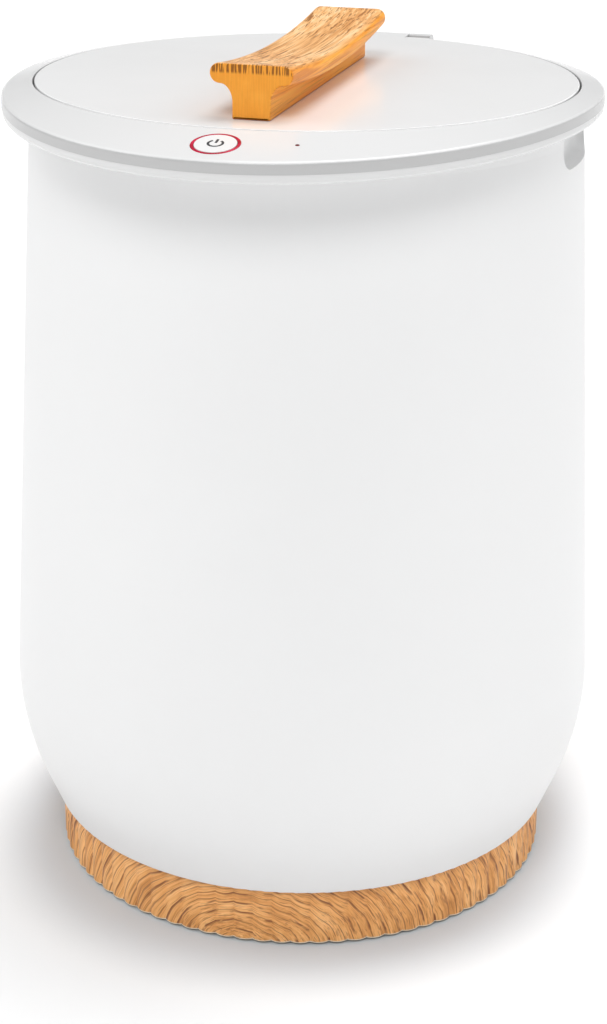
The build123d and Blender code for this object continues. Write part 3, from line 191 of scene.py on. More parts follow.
# %% The finish
class Finish:
    """A material whose Principled shader gets its values from named patterns."""

    def __init__(self, name, **constants):
        self.material = bpy.data.materials.new(name)
        self.material.use_nodes = True
        self.nodes = self.material.node_tree.nodes
        self.links = self.material.node_tree.links
        self.shader = self.nodes["Principled BSDF"]
        for socket, value in constants.items():
            self.feed(self.shader, socket.replace("_", " "), value)

    def feed(self, node, socket, value):
        """Links a varying value to a node's socket, or sets a fixed one."""
        target = node.inputs[socket]
        if isinstance(value, Varying):
            self.links.new(value.socket, target)
        elif isinstance(value, tuple) and len(value) == 3 and target.type == "RGBA":
            target.default_value = (*value, 1)
        else:
            target.default_value = value

    def node(self, kind, settings, sockets, output=0):
        """Adds a node and gives one of its outputs."""
        node = self.nodes.new(kind)
        for setting, value in settings.items():
            if setting == "stops":
                self.set_stops(node.color_ramp, value)
            else:
                setattr(node, setting, value)
        for socket, value in sockets.items():
            self.feed(node, socket, value)
        return Varying(self, node.outputs[output])

    def set_stops(self, ramp, stops):
        """Gives a colour ramp its stops: pairs of a place and a colour."""
        while len(ramp.elements) < len(stops):
            ramp.elements.new(1)
        for element, (place, colour) in zip(ramp.elements, stops):
            element.position = place
            element.color = (*colour, 1)

    def maths(self, operation, *values):
        """The result of one Math node."""
        return self.node("ShaderNodeMath", {"operation": operation}, dict(enumerate(values)))

    def place(self):
        """Object coordinates: metres in the object's own frame."""
        return self.node("ShaderNodeTexCoord", {}, {}, "Object")

    def attribute(self, name):
        """A number stored on the mesh's points."""
        return self.node("ShaderNodeAttribute", {"attribute_name": name}, {}, "Fac")

    def split(self, vector):
        """The three parts of a vector."""
        first = self.node("ShaderNodeSeparateXYZ", {}, {0: vector})
        return [Varying(self, output) for output in first.socket.node.outputs]

    def join(self, x, y, z):
        """A vector from three numbers."""
        return self.node("ShaderNodeCombineXYZ", {}, {0: x, 1: y, 2: z})

    def stretched(self, vector, scale):
        """A vector scaled part by part."""
        return self.node("ShaderNodeVectorMath", {"operation": "MULTIPLY"}, {0: vector, 1: scale})

    def from_axis(self, vector):
        """A place measured from the barrel's axis."""
        return self.node("ShaderNodeVectorMath", {"operation": "SUBTRACT"}, {
            0: vector, 1: (0, AXIS_BACK, 0)})

    def noise(self, vector, scale, detail=2.0, rough=0.5):
        """Cloudy noise between 0 and 1, its features one over the scale in size."""
        return self.node("ShaderNodeTexNoise", {}, {
            "Vector": vector, "Scale": scale, "Detail": detail, "Roughness": rough})

    def window(self, value, low, high):
        """0 below the low value, 1 above the high one, with a soft step between."""
        return self.node("ShaderNodeMapRange", {"interpolation_type": "SMOOTHSTEP"}, {
            "Value": value, "From Min": low, "From Max": high})

    def ramp(self, value, stops):
        """Colours along a value."""
        return self.node("ShaderNodeValToRGB", {"stops": stops}, {"Fac": value}, "Color")

    def mix(self, share, first, second):
        """The first colour where the share is 0, the second where it is 1. Among a Mix node's
        sockets, 6 and 7 are its two colours and output 2 is the mixed one."""
        return self.node("ShaderNodeMix", {"data_type": "RGBA"}, {0: share, 6: first, 7: second}, 2)

    def end(self, colour, rough, height=None, depth=0.1 * MM):
        """Feeds colour, roughness and relief to the shader, and returns the material."""
        self.feed(self.shader, "Base Color", colour)
        self.feed(self.shader, "Roughness", rough)
        if height is not None:
            bump = self.node("ShaderNodeBump", {}, {"Height": height, "Distance": depth, "Strength": 1.0})
            self.feed(self.shader, "Normal", bump)
        return self.material


def tint(colour, share):
    """A colour made lighter (share above 1) or darker."""
    return tuple(min(1.0, part * share) for part in colour)


def dress(piece, material):
    """Gives a piece one material."""
    piece.data.materials.clear()
    piece.data.materials.append(material)


print("finishes are built with", len([m for m in vars(Finish) if not m.startswith("_")]), "methods")

# %% [markdown]
# ## White mouldings
# The barrel, the rim and the lid are injection-moulded white plastic. Real gloss plastic is
# never one flat grey: its polish varies slowly over the surface, and close up it has the
# faint orange peel of the mould. The lid is the glossiest, the barrel a little softer. Each
# moulding's grey is one white made lighter or darker as painted light and shade, matched to the
# photograph by mean colours. The rim's upright edge looks darker there; here the upright faces of the rim
# and the tray get painted shade.


# %% White plastic
STEEP, LEVEL = 0.35, 0.75


def white_moulding(name, colour, rough, peel_size, peel_depth, upright_shade_share=1.0):
    """Gloss plastic: slow changes of polish, a trace of tone, and orange peel. Painted shade: the tone is
    multiplied by the painted-shade share (the last argument) where the surface is upright, which is where
    the upward part of its normal is below STEEP, and it fades back to the full tone at LEVEL."""
    finish = Finish(name, IOR=1.46)
    place = finish.place()
    cloud = finish.noise(place, 9, 2.0)
    wipe = finish.noise(place, 55, 3.0, 0.6)
    peel = finish.noise(place, 1 / peel_size, 1.0)
    tone = finish.mix(cloud, tint(colour, 0.985), tint(colour, 1.01))
    # Painted shade: upright faces get a darker tone.
    if upright_shade_share < 1:
        facing = finish.node("ShaderNodeNewGeometry", {}, {}, "Normal")
        upright = 1 - finish.window(abs(finish.split(facing)[2]), STEEP, LEVEL)
        tone = finish.mix(upright, tone, tint(colour, upright_shade_share))
    polish = rough * 0.75 + cloud * (rough * 0.35) + wipe * (rough * 0.15)
    return finish.end(tone, polish, peel, peel_depth)


# Painted light and shade: one white plastic in different tones, each evening out the light its moulding
# gets under these lamps; the key follows the rim's tone.
BARREL_TONE = (0.80, 0.80, 0.80)
LID_TONE = (0.90, 0.90, 0.90)
RIM_TONE = (0.745, 0.745, 0.745)
KEY_TONE = tint(RIM_TONE, 1.1)
# Painted shade: these shares darken the upright faces of the rim and the tray.
RIM_UPRIGHT_SHADE_SHARE = 0.66
TRAY_UPRIGHT_SHADE_SHARE = 0.93
WHITE_MOULDINGS = {
    "lid_top": ("lid_white", LID_TONE, 0.18, 1.6 * MM, 0.006 * MM),
    "rim_ring": ("rim_white", RIM_TONE, 0.22, 1.6 * MM, 0.008 * MM, RIM_UPRIGHT_SHADE_SHARE),
    "rim_tray": ("tray_white", RIM_TONE, 0.26, 1.6 * MM, 0.008 * MM, TRAY_UPRIGHT_SHADE_SHARE),
    "body_shell": ("barrel_white", BARREL_TONE, 0.36, 1.1 * MM, 0.012 * MM),
    "power_button": ("key_white", KEY_TONE, 0.2, 0.9 * MM, 0.004 * MM),
}
for wearer, values in WHITE_MOULDINGS.items():
    dress(nodes[wearer], white_moulding(*values))
print("white mouldings:", ", ".join(WHITE_MOULDINGS))

# %% [markdown]
# ## Small and inner pieces
# Screws and seals are seen from below or when the lid is open, and felt and boards are hidden
# inside. Each material still gets its own finish: a base tone, a second tone that noise
# mixes in, a roughness that varies, and a relief of the right size.


# %% Plain finishes for the small pieces
def plain_finish(name, colour, second, rough, grain, depth, metallic=0.0, stretch=(1, 1, 1)):
    """Two tones mixed by noise, with a relief of the same grain. stretch draws the grain out."""
    finish = Finish(name, Metallic=metallic)
    place = finish.stretched(finish.place(), stretch)
    grains = finish.noise(place, 1 / grain, 3.0, 0.6)
    cloud = finish.noise(place, 0.08 / grain, 2.0)
    tone = finish.mix(grains * 0.6 + cloud * 0.4, colour, second)
    return finish.end(tone, rough * 0.8 + grains * (rough * 0.4), grains, depth)


PLAIN = {
    "base_black": ((0.035, 0.035, 0.037), (0.055, 0.055, 0.058), 0.55, 0.6 * MM, 0.03 * MM),
    "foot_rubber": ((0.022, 0.022, 0.022), (0.04, 0.04, 0.04), 0.7, 0.8 * MM, 0.03 * MM),
    "gland_white": ((0.74, 0.74, 0.73), (0.8, 0.8, 0.79), 0.5, 0.7 * MM, 0.02 * MM),
    "seal_silicone": ((0.66, 0.66, 0.65), (0.72, 0.72, 0.71), 0.55, 1.2 * MM, 0.02 * MM),
    "heater_cloth": ((0.5, 0.24, 0.07), (0.62, 0.33, 0.12), 0.5, 0.8 * MM, 0.05 * MM),
    "felt_grey": ((0.6, 0.59, 0.56), (0.75, 0.74, 0.7), 0.95, 0.5 * MM, 0.2 * MM),
    "foam_cream": ((0.74, 0.72, 0.66), (0.84, 0.82, 0.77), 0.95, 0.9 * MM, 0.25 * MM),
    "switch_black": ((0.03, 0.03, 0.032), (0.05, 0.05, 0.052), 0.45, 0.4 * MM, 0.01 * MM),
    "component_blue": ((0.06, 0.16, 0.3), (0.09, 0.21, 0.38), 0.4, 0.5 * MM, 0.01 * MM),
    "core_varnish": ((0.1, 0.1, 0.11), (0.16, 0.16, 0.17), 0.35, 0.5 * MM, 0.02 * MM),
    "board_green": ((0.02, 0.12, 0.045), (0.03, 0.17, 0.07), 0.35, 1.5 * MM, 0.01 * MM),
    "led_diffuser": ((0.8, 0.77, 0.6), (0.88, 0.85, 0.7), 0.3, 0.3 * MM, 0.005 * MM),
}
METAL = {
    "zinc_plate": ((0.5, 0.5, 0.51), (0.62, 0.63, 0.64), 0.32, 0.6 * MM, 0.01 * MM, 1.0),
    "pin_steel": ((0.5, 0.5, 0.5), (0.6, 0.6, 0.6), 0.22, 0.3 * MM, 0.005 * MM, 1.0, (0.05, 1, 1)),
}
plain = {name: plain_finish(name, *values) for name, values in {**PLAIN, **METAL}.items()}
WEARS = {
    "base_black": ["base_plate"],
    "seal_silicone": ["rim_seal", "lid_seal"],
    "heater_cloth": ["side_heater", "floor_heater"],
    "felt_grey": ["side_insulation", "floor_insulation"],
    "foam_cream": ["lid_insulation"],
    "switch_black": ["thermostat", "switch_plunger", "tact_switch", "capacitor"],
    "component_blue": ["relay", "terminal_block"],
    "core_varnish": ["transformer"],
    "board_green": ["control_board", "power_board"],
    "led_diffuser": ["status_leds"],
    "zinc_plate": ["base_screws", "shell_screws", "rim_screws", "board_screws", "liner_screws",
                   "handle_screws", "clamp_plate", "clamp_nuts", "thermal_fuse"],
    "pin_steel": ["hinge_pin"],
}
for finish_name, wearers in WEARS.items():
    for wearer in wearers:
        dress(nodes[wearer], plain[finish_name])
print("small pieces dressed:", sum(len(wearers) for wearers in WEARS.values()))

# %% [markdown]
# ## The reeded base ring
# The foot of the warmer is a ring of moulded reeds wrapped in a printed wood film. Its lower
# edge is cut bare, so a thin pale line shows there. The ring could be a cylinder with a
# displacement, but the reeds are so regular that one formula gives them: the radius swells
# by one shallow arc between each pair of valleys.

# %% Base ring
REEDS = 84
REED_COLUMNS = 12
REED_CREST = 133.8 * MM
REED_DEPTH = 1.5 * MM
RING_WALL = 3.6 * MM
RING_FLANGE = 3.0 * MM
FLANGE_INNER = 116 * MM
FOOT_PROUD = 1.5 * MM
RING_EDGE = 0.45 * MM
RING_STEP = 2.5 * MM


def reed_swell(turn):
    """Share of the reed's depth at a turn: 1 - (2s - 1)^2, where s runs from 0 to 1 over a reed."""
    share = (turn * REEDS / (2 * math.pi)) % 1.0
    return 1 - (2 * share - 1) ** 2


def ring_points():
    """The ring's closed outline, turned; the outer wall's points move out by the reed's swell."""
    valley = REED_CREST - REED_DEPTH
    inner = valley - RING_WALL
    flange_low = BODY_BOTTOM - RING_FLANGE
    low_edge = arc((valley - RING_EDGE, FOOT_PROUD + RING_EDGE), RING_EDGE, -90, 0, 5)
    top_edge = arc((valley - RING_EDGE, BODY_BOTTOM - RING_EDGE), RING_EDGE, 0, 90, 5)
    outer = finely(profile(low_edge, top_edge), RING_STEP)
    inside = profile((FLANGE_INNER, BODY_BOTTOM), (FLANGE_INNER, flange_low), (inner, flange_low),
                     (inner, FOOT_PROUD))
    outline = profile(outer, inside)
    points = turned(outline, REEDS * REED_COLUMNS)
    turn = round_steps(REEDS * REED_COLUMNS)
    swell = REED_DEPTH * reed_swell(turn)
    way = np.stack([np.sin(turn), -np.cos(turn), 0 * turn], 1)
    points[:len(outer)] += (swell[:, None] * way)[None]
    return points


base_ring = surface("reeded_ring", ring_points(), wrap_rows=True, wrap_columns=True)
print("reeded ring:", len(base_ring.data.polygons), "faces")

# %% [markdown]
# The gland needs a hole in the back of the ring. A Boolean modifier cuts it once, and its
# result becomes the mesh, so nothing is left live.

# %% Hole for the gland
GLAND_HEIGHT = 17 * MM
GLAND_BARREL = 5.6 * MM
DRILL_START, DRILL_END = 110 * MM, 145 * MM


def along_back(outline, columns):
    """Points of an outline of (radius, distance behind the axis), turned about the gland's axis."""
    turn = round_steps(columns)
    r, out = outline[:, :1], outline[:, 1:]
    return np.stack([r * np.sin(turn), AXIS_BACK + out + 0 * turn, GLAND_HEIGHT + r * np.cos(turn)], 2)


def cut(piece, cutter):
    """Takes the cutter's space out of a piece, and removes the cutter."""
    modifier = piece.modifiers.new("hole", "BOOLEAN")
    modifier.object = cutter
    modifier.solver = "EXACT"
    evaluated = piece.evaluated_get(bpy.context.evaluated_depsgraph_get())
    mesh = bpy.data.meshes.new_from_object(evaluated)
    piece.modifiers.clear()
    piece.data = mesh
    bpy.data.objects.remove(cutter)


drill = along_back(profile((GLAND_BARREL, DRILL_START), (GLAND_BARREL, DRILL_END)), 48)
cut(base_ring, surface("drill", drill, wrap_columns=True, ends=True))
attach(base_ring, "housing")
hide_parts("base_ring")
print("ring with its hole:", len(base_ring.data.polygons), "faces")

# %% [markdown]
# ## The printed wood film
# A plank that is cut near the heart shows arches, and straight lines beside them. The film
# prints that, so its lines are the level lines of a stretched distance from two centres
# just below the ring: arches near a centre, nearly upright lines further off. Fine pores
# follow the same lines. Half the ring belongs to each centre. Where the halves meet, at the
# two sides, the formula jumps, and the turn jumps at the back, so lines may break there.

# %% Wood film
ARCH_COUNT = 2
ARCH_TURN = math.radians(1.5)
ARCH_DROP = -2.5 * MM
ARCH_WIDENING = 1.5
RING_PITCH = 5.2 * MM
FINE_LINES, FINE_START = 1.63, 0.4
FILM_SWAY = 14 * MM
FILM_LEAN = 2.6 * MM
FILM_TWIST = 26 * MM
EDGE_BARE, EDGE_PRINTED = FOOT_PROUD + 0.5 * MM, FOOT_PROUD + 1.0 * MM
FILM_TANS = [(0.38, (0.60, 0.25, 0.062)), (0.50, (0.80, 0.375, 0.112)), (0.62, (0.94, 0.51, 0.20))]
FILM_BROWN = (0.22, 0.065, 0.016)
BARE_TONE = (0.9, 0.78, 0.6)


def wood_film():
    """Colour from level lines of sqrt((arc / widening)^2 + height^2), bent by noise. Each year's
    growth ends in a brown line that sets in softly and stops sharply, and its strength comes
    and goes. A second, finer set of lines runs along with it at its own pitch."""
    finish = Finish("wood_film", Coat_Weight=0.1, Coat_Roughness=0.4)
    place = finish.place()
    centred = finish.from_axis(place)
    x, y, z = finish.split(centred)
    turn = finish.maths("ARCTAN2", x, y * -1.0)
    span = 2 * math.pi / ARCH_COUNT
    folded = finish.maths("WRAP", turn - ARCH_TURN, span / 2, -span / 2)
    sway = finish.noise(place, 16, 2.0) - 0.5
    lean = finish.noise(place, 55, 2.0, 0.5) - 0.5
    across = folded * REED_CREST + sway * FILM_SWAY
    up = z - ARCH_DROP
    level = ((across / ARCH_WIDENING) ** 2.0 + up * up) ** 0.5 + lean * FILM_LEAN
    years = level / RING_PITCH
    heading = finish.maths("ARCTAN2", up, across / ARCH_WIDENING) * 2.0
    fibre_place = finish.join(years, heading + z / FILM_TWIST, turn)
    broad = finish.noise(finish.stretched(fibre_place, (0.5, 0.4, 1.0)), 1.0, 2.0, 0.5)
    fibres = finish.noise(finish.stretched(fibre_place, (7, 1.1, 2)), 1.0, 3.0, 0.6)
    pores = finish.noise(finish.stretched(fibre_place, (13, 2.4, 6)), 1.0, 1.0, 0.5)
    strength = finish.noise(finish.stretched(fibre_place, (0.8, 1.3, 2.5)), 1.0, 2.0, 0.5)
    growth = finish.maths("FRACT", years)
    line = finish.window(growth, 0.72, 0.9) * (1 - finish.window(growth, 0.95, 1.0))
    second = finish.maths("FRACT", years * FINE_LINES + FINE_START)
    thin_line = finish.window(second, 0.8, 0.92) * (1 - finish.window(second, 0.95, 1.0))
    tan = finish.ramp(broad * 0.4 + fibres * 0.6, FILM_TANS)
    lined = finish.mix(line * finish.window(strength, 0.42, 0.58) * 0.95, tan, FILM_BROWN)
    lined = finish.mix(thin_line * finish.window(strength, 0.6, 0.45) * 0.75, lined, FILM_BROWN)
    pore_line = finish.window(pores, 0.58, 0.68)
    printed = finish.mix(pore_line * 0.5, lined, FILM_BROWN)
    bare_edge = 1 - finish.window(z, EDGE_BARE, EDGE_PRINTED)
    colour = finish.mix(bare_edge * 0.85, printed, BARE_TONE)
    relief = fibres - pore_line * 0.6 - line * 0.4
    return finish.end(colour, 0.42 + fibres * 0.15, relief, 0.03 * MM)


dress(base_ring, wood_film())
print("wood film on", base_ring.name)

# %% [markdown]
# ## The handle
# The handle is one length of wood with a T-shaped section: a stem with a cove under each wing,
# and round noses. Its top is dished from end to end. A section drawn once is carried along
# the length; the wings follow the dish while the stem's foot stays on the lid.

# %% Handle shape
HANDLE_LENGTH = 182 * MM
HANDLE_FORWARD = 25 * MM
HANDLE_ASIDE = 5 * MM
HANDLE_END_HEIGHT = 25.2 * MM
HANDLE_DISH = 5.6 * MM
HANDLE_WIDTH = 39 * MM
STEM_WIDTH = 18 * MM
WING_THICKNESS = 9.2 * MM
COVE_WIDTH = 6.0 * MM
COVE_HEIGHT = 8.2 * MM
NOSE_RADIUS = 4.5 * MM
STEM_CHAMFER = 0.5 * MM
END_ROUND = 1.1 * MM
STATIONS = 72
END_ROWS = 3
TOP_ATTRIBUTE = "top_share"
END_ATTRIBUTE = "end_share"


def half_section(height):
    """Right half of the section at a top height: foot, stem, cove, underside, nose and top."""
    stem, wing = STEM_WIDTH / 2, HANDLE_WIDTH / 2
    low = height - WING_THICKNESS
    foot = profile((stem - STEM_CHAMFER, 0), (stem, STEM_CHAMFER))
    halfway = (stem, (low - COVE_HEIGHT) * 0.5 + STEM_CHAMFER / 2)
    cove_middle = (stem + COVE_WIDTH, low - COVE_HEIGHT)
    cove = arc((0, 0), 1.0, 180, 90, 12) * (COVE_WIDTH, COVE_HEIGHT) + cove_middle
    lower = arc((wing - NOSE_RADIUS, low + NOSE_RADIUS), NOSE_RADIUS, -90, 0, 10)
    upper = arc((wing - NOSE_RADIUS, height - NOSE_RADIUS), NOSE_RADIUS, 0, 90, 10)
    top = np.stack([np.linspace(wing - NOSE_RADIUS, 0, 9)[1:], np.full(8, height)], 1)
    return profile(foot, halfway, cove, lower, upper, top)


def handle_points():
    """Sections along the length. Near each end the section draws in by r(1 - cos a), while its
    place moves by r sin a, which rounds the end's edge."""
    half = HANDLE_LENGTH / 2
    run = np.linspace(-half + END_ROUND, half - END_ROUND, STATIONS)
    quarter = np.radians(np.linspace(90, 0, 6))[:-1]
    near = -half + END_ROUND - END_ROUND * np.sin(quarter)
    along = np.concatenate([near, run, -near[::-1]])
    drawn = END_ROUND * (1 - np.cos(quarter))
    inset = np.concatenate([drawn, np.zeros(STATIONS), drawn[::-1]])
    radius = (half ** 2 + HANDLE_DISH ** 2) / (2 * HANDLE_DISH)
    height = HANDLE_END_HEIGHT - HANDLE_DISH + radius - np.sqrt(radius ** 2 - along ** 2)
    right = np.stack([half_section(top) for top in height])
    left = right[:, ::-1][:, 1:] * (-1, 1)
    section = np.concatenate([right, left], 1)
    ahead, behind = np.roll(section, -1, 1), np.roll(section, 1, 1)
    tangent = ahead - behind
    normal = np.stack([tangent[..., 1], -tangent[..., 0]], 2)
    normal /= np.linalg.norm(normal, axis=2, keepdims=True)
    section = section - normal * inset[:, None, None]
    section[..., 1] = np.maximum(section[..., 1], 0)
    across = HANDLE_ASIDE + section[..., 0]
    back = np.broadcast_to(AXIS_BACK - HANDLE_FORWARD + along[:, None], across.shape)
    return np.stack([across, back, LID_TOP + section[..., 1]], 2)


handle_grid = handle_points()
handle = surface("wooden_handle", handle_grid, wrap_columns=True, ends=True)
print("handle:", len(handle.data.polygons), "faces,", round(HANDLE_LENGTH / MM), "mm long")


# %% [markdown]
# A mesh attribute tells the material where the top and the sawn ends are, because wood shows
# long pores on its top and short dark ticks where the fibres are cut.

# %% Where the top and the ends are
def store(piece, name, values):
    """Keeps one number for each point of a mesh."""
    attribute = piece.data.attributes.new(name, "FLOAT", "POINT")
    attribute.data.foreach_set("value", np.ascontiguousarray(values, np.float32).ravel())


def handle_shares(grid):
    """How far each point faces up (1 on the top), and how near the sawn ends it lies."""
    rows, columns = grid.shape[:2]
    ahead, behind = np.roll(grid, -1, 1), np.roll(grid, 1, 1)
    tangent = ahead - behind
    upward = np.clip(tangent[..., 0] * -1 / np.maximum(np.linalg.norm(tangent, axis=2), 1e-9), 0, 1)
    ends = np.zeros((rows, columns))
    ends[:END_ROWS], ends[-END_ROWS:] = 1, 1
    return upward, ends


upward, ends = handle_shares(handle_grid)
store(handle, TOP_ATTRIBUTE, upward)
store(handle, END_ATTRIBUTE, ends)
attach(handle, "lid")
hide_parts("handle")
print("share of the handle's points that face up:", round(float((upward > 0.9).mean()), 2))

# %% [markdown]
# ## Oiled wood
# The handle is warmer and glossier than the base: orange where the oil lies on smooth long
# grain, darker pores as long dashes on top. The fibres run along Y, so the noise is
# drawn out along Y. The sawn ends show short upright ticks instead, from a noise of their own.


# %% Handle wood
HONEY = [(0.40, (0.74, 0.24, 0.02)), (0.50, (0.95, 0.38, 0.045)), (0.60, (1.0, 0.53, 0.09))]
PALE_TOP = [(0.40, (0.70, 0.33, 0.11)), (0.50, (0.89, 0.49, 0.20)), (0.60, (0.97, 0.65, 0.35))]
LOW_ORANGE = (0.80, 0.24, 0.012)
SAWN_TONES = (0.84, 0.31, 0.03), (0.97, 0.42, 0.06)
PORE_BROWN = (0.2, 0.07, 0.015)
FOOT_RED = (0.33, 0.07, 0.02)
FIBRE_SWAY = 4 * MM


def oiled_wood():
    """Long fibres from noise stretched along Y, pores on the top, ticks on the ends."""
    finish = Finish("oiled_wood", Coat_Weight=0.03, Coat_Roughness=0.25, Specular_IOR_Level=0.12)
    place = finish.place()
    top = finish.attribute(TOP_ATTRIBUTE)
    sawn = finish.attribute(END_ATTRIBUTE)
    x, y, z = finish.split(place)
    sway = finish.noise(finish.stretched(place, (12, 5, 12)), 1.0, 2.0) - 0.5
    bent = finish.join(x + sway * FIBRE_SWAY, y, z)
    broad = finish.noise(finish.stretched(bent, (110, 7, 110)), 1.0, 3.0, 0.55)
    fibre = finish.noise(finish.stretched(bent, (650, 16, 650)), 1.0, 3.0, 0.6)
    pore = finish.noise(finish.stretched(bent, (1500, 16, 1500)), 1.0, 1.0, 0.5)
    streak = finish.noise(finish.stretched(bent, (850, 5, 850)), 1.0, 2.0, 0.5)
    honey = finish.ramp(broad * 0.5 + fibre * 0.5, HONEY)
    pale_top = finish.ramp(broad * 0.4 + fibre * 0.6, PALE_TOP)
    on_top = finish.window(top, 0.55, 0.95)
    low_down = 1 - finish.window(z, LID_TOP + 5 * MM, LID_TOP + 13 * MM)
    body = finish.mix(on_top, finish.mix(low_down * 0.4, honey, LOW_ORANGE), pale_top)
    streaks = finish.window(streak, 0.58, 0.64) * (0.22 + on_top * 0.58)
    pores = finish.window(pore, 0.61, 0.69) * (0.3 + on_top * 0.5)
    long_grain = finish.mix(pores, finish.mix(streaks, body, tint(PORE_BROWN, 1.5)), PORE_BROWN)
    tick = finish.noise(finish.stretched(place, (1300, 1, 60)), 1.0, 1.0, 0.6)
    wing_foot = LID_TOP + HANDLE_END_HEIGHT - WING_THICKNESS
    in_wing = finish.window(z, wing_foot + 4.2 * MM, wing_foot + 5.8 * MM)
    faint = finish.window(tick, 0.46, 0.54) * (0.06 + in_wing * 0.8)
    end_grain = finish.mix(faint, finish.mix(broad, *SAWN_TONES), PORE_BROWN)
    low_red = 1 - finish.window(z, LID_TOP + 0.3 * MM, LID_TOP + 1.2 * MM)
    colour = finish.mix(low_red * 0.6, finish.mix(sawn, long_grain, end_grain), FOOT_RED)
    relief = fibre - finish.window(pore, 0.58, 0.68) * 0.8
    return finish.end(colour, 0.30 + fibre * 0.2, relief, 0.05 * MM)


dress(handle, oiled_wood())
print("oiled wood on", handle.name)

# %% [markdown]
# ## The control panel
# The power key sits in a red light guide, in the sloping front of the rim. Its mark is the
# usual sign for power: an open circle with a bar. It is raised a hair's breadth on the key,
# as a thick print is, and it moves with the key. The panel's own axes lie on the slope.

# %% The panel's slope
BUTTON_DISTANCE = 153.5 * MM
BUTTON_RADIUS = 9.6 * MM
BUTTON_PROUD = 0.3 * MM
LIGHT_RING_WIDTH = 1.5 * MM


def on_panel(points):
    """Points given along the panel (right, up the slope, out of it), put on the rim's slope."""
    right, up, out = np.moveaxis(points, -1, 0)
    height = LID_TOP - (BUTTON_DISTANCE - LID_OPENING_RADIUS) * math.tan(RIM_SLOPE)
    back = AXIS_BACK - BUTTON_DISTANCE + up * math.cos(RIM_SLOPE) - out * math.sin(RIM_SLOPE)
    return np.stack([right, back, height + up * math.sin(RIM_SLOPE) + out * math.cos(RIM_SLOPE)], -1)


print("panel slope:", round(math.degrees(RIM_SLOPE), 1), "degrees")

# %% Power mark
MARK_RADIUS = 3.3 * MM
MARK_LINE = 1.15 * MM
MARK_RAISED = 0.07 * MM
MARK_CROWN = 0.02 * MM
MARK_SUNK = 0.02 * MM
MARK_OPENING = math.radians(36)
BAR_LOW, BAR_HIGH = 0.4, 4.4


def ribbon(path, width, low, high):
    """A flat bar with a low crown carried along a path of (right, up) points."""
    ahead = np.gradient(path, axis=0)
    side = np.stack([-ahead[:, 1], ahead[:, 0]], 1) / np.linalg.norm(ahead, axis=1)[:, None]
    across = np.array([-0.5, -0.5, -0.42, 0.42, 0.5, 0.5]) * width
    out = np.array([low, high - MARK_CROWN, high, high, high - MARK_CROWN, low])
    flat = path[:, None, :] + side[:, None, :] * across[None, :, None]
    return on_panel(np.concatenate([flat, np.broadcast_to(out[None, :, None], (*flat.shape[:2], 1))], 2))


sweep = np.linspace(MARK_OPENING, 2 * math.pi - MARK_OPENING, 64)
open_circle = MARK_RADIUS * np.stack([np.sin(sweep), np.cos(sweep)], 1)
upright = np.stack([np.zeros(12), np.linspace(BAR_LOW, BAR_HIGH, 12) * MM], 1)
mark_foot = BUTTON_PROUD - MARK_SUNK
mark_ink = plain_finish("mark_ink", (0.03, 0.035, 0.04), (0.05, 0.055, 0.06), 0.4, 0.3 * MM, 0.005 * MM)
for mark_name, path in (("power_circle", open_circle), ("power_bar", upright)):
    mark = surface(mark_name, ribbon(path, MARK_LINE, mark_foot, BUTTON_PROUD + MARK_RAISED),
                   wrap_columns=True, ends=True)
    dress(mark, mark_ink)
    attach(mark, "button")
print("power mark raised by", MARK_RAISED, "m")

# %% [markdown]
# The light guide is clear red plastic that stands slightly domed round the key. Clear plastic
# is never evenly deep in colour, so noise mixes two reds. The indicator is the same plastic
# in a darker tone. The key itself is white gloss plastic, and was dressed with the mouldings.

# %% Light guide
DOME = 0.22 * MM
GUIDE_DEPTH = 2.9 * MM
RING_INNER = BUTTON_RADIUS + SLIP_GAP
RING_OUTER = RING_INNER + LIGHT_RING_WIDTH


def light_guide_points():
    """A ring whose top is half an ellipse across its width. Its sides go straight down into the
    rim, without the solid's step, so its foot runs through the edge of the key's flange. That
    is out of sight under the rim."""
    middle, half = (RING_INNER + RING_OUTER) / 2, LIGHT_RING_WIDTH / 2
    a = np.radians(np.linspace(0, 180, 13))
    crown = np.stack([middle + half * np.cos(a), DOME * np.sin(a)], 1)
    outline = profile((RING_OUTER, -GUIDE_DEPTH), crown, (RING_INNER, -GUIDE_DEPTH))
    turn = round_steps(96)
    r, out = outline[:, :1], outline[:, 1:]
    return on_panel(np.stack([r * np.sin(turn), r * np.cos(turn), out + 0 * turn], 2))


def red_plastic(name, deep, bright, glow):
    """Clear red: deeper and brighter patches, a polished face, and a faint glow of its own."""
    finish = Finish(name, Emission_Strength=glow, Specular_IOR_Level=0.3)
    patch = finish.noise(finish.place(), 160, 2.0)
    colour = finish.mix(finish.window(patch, 0.35, 0.65), deep, bright)
    finish.feed(finish.shader, "Emission Color", colour)
    return finish.end(colour, 0.2 + patch * 0.1, finish.noise(finish.place(), 900, 1.0), 0.004 * MM)


light_guide = surface("light_guide", light_guide_points(), wrap_rows=True, wrap_columns=True)
dress(light_guide, red_plastic("ring_red", (0.36, 0.003, 0.025), (0.56, 0.008, 0.055), 0.03))
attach(light_guide, "housing")
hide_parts("light_ring")
dress(nodes["indicator_lens"], red_plastic("dot_red", (0.09, 0.004, 0.008), (0.15, 0.007, 0.014), 0.01))
print("light guide from", RING_INNER, "to", RING_OUTER, "m")

# %% [markdown]
# ## The bucket and the lid's liner
# Under the lid is a drawn aluminium bucket, and the lid carries an aluminium pan that faces
# it. Both have pressed beads that stiffen the thin sheet. They are turned shapes, so each
# is one outline; the beads are smooth bumps added to the outline. The outline runs round the
# sheet and stops just short of the axis, which leaves a pinhole there.

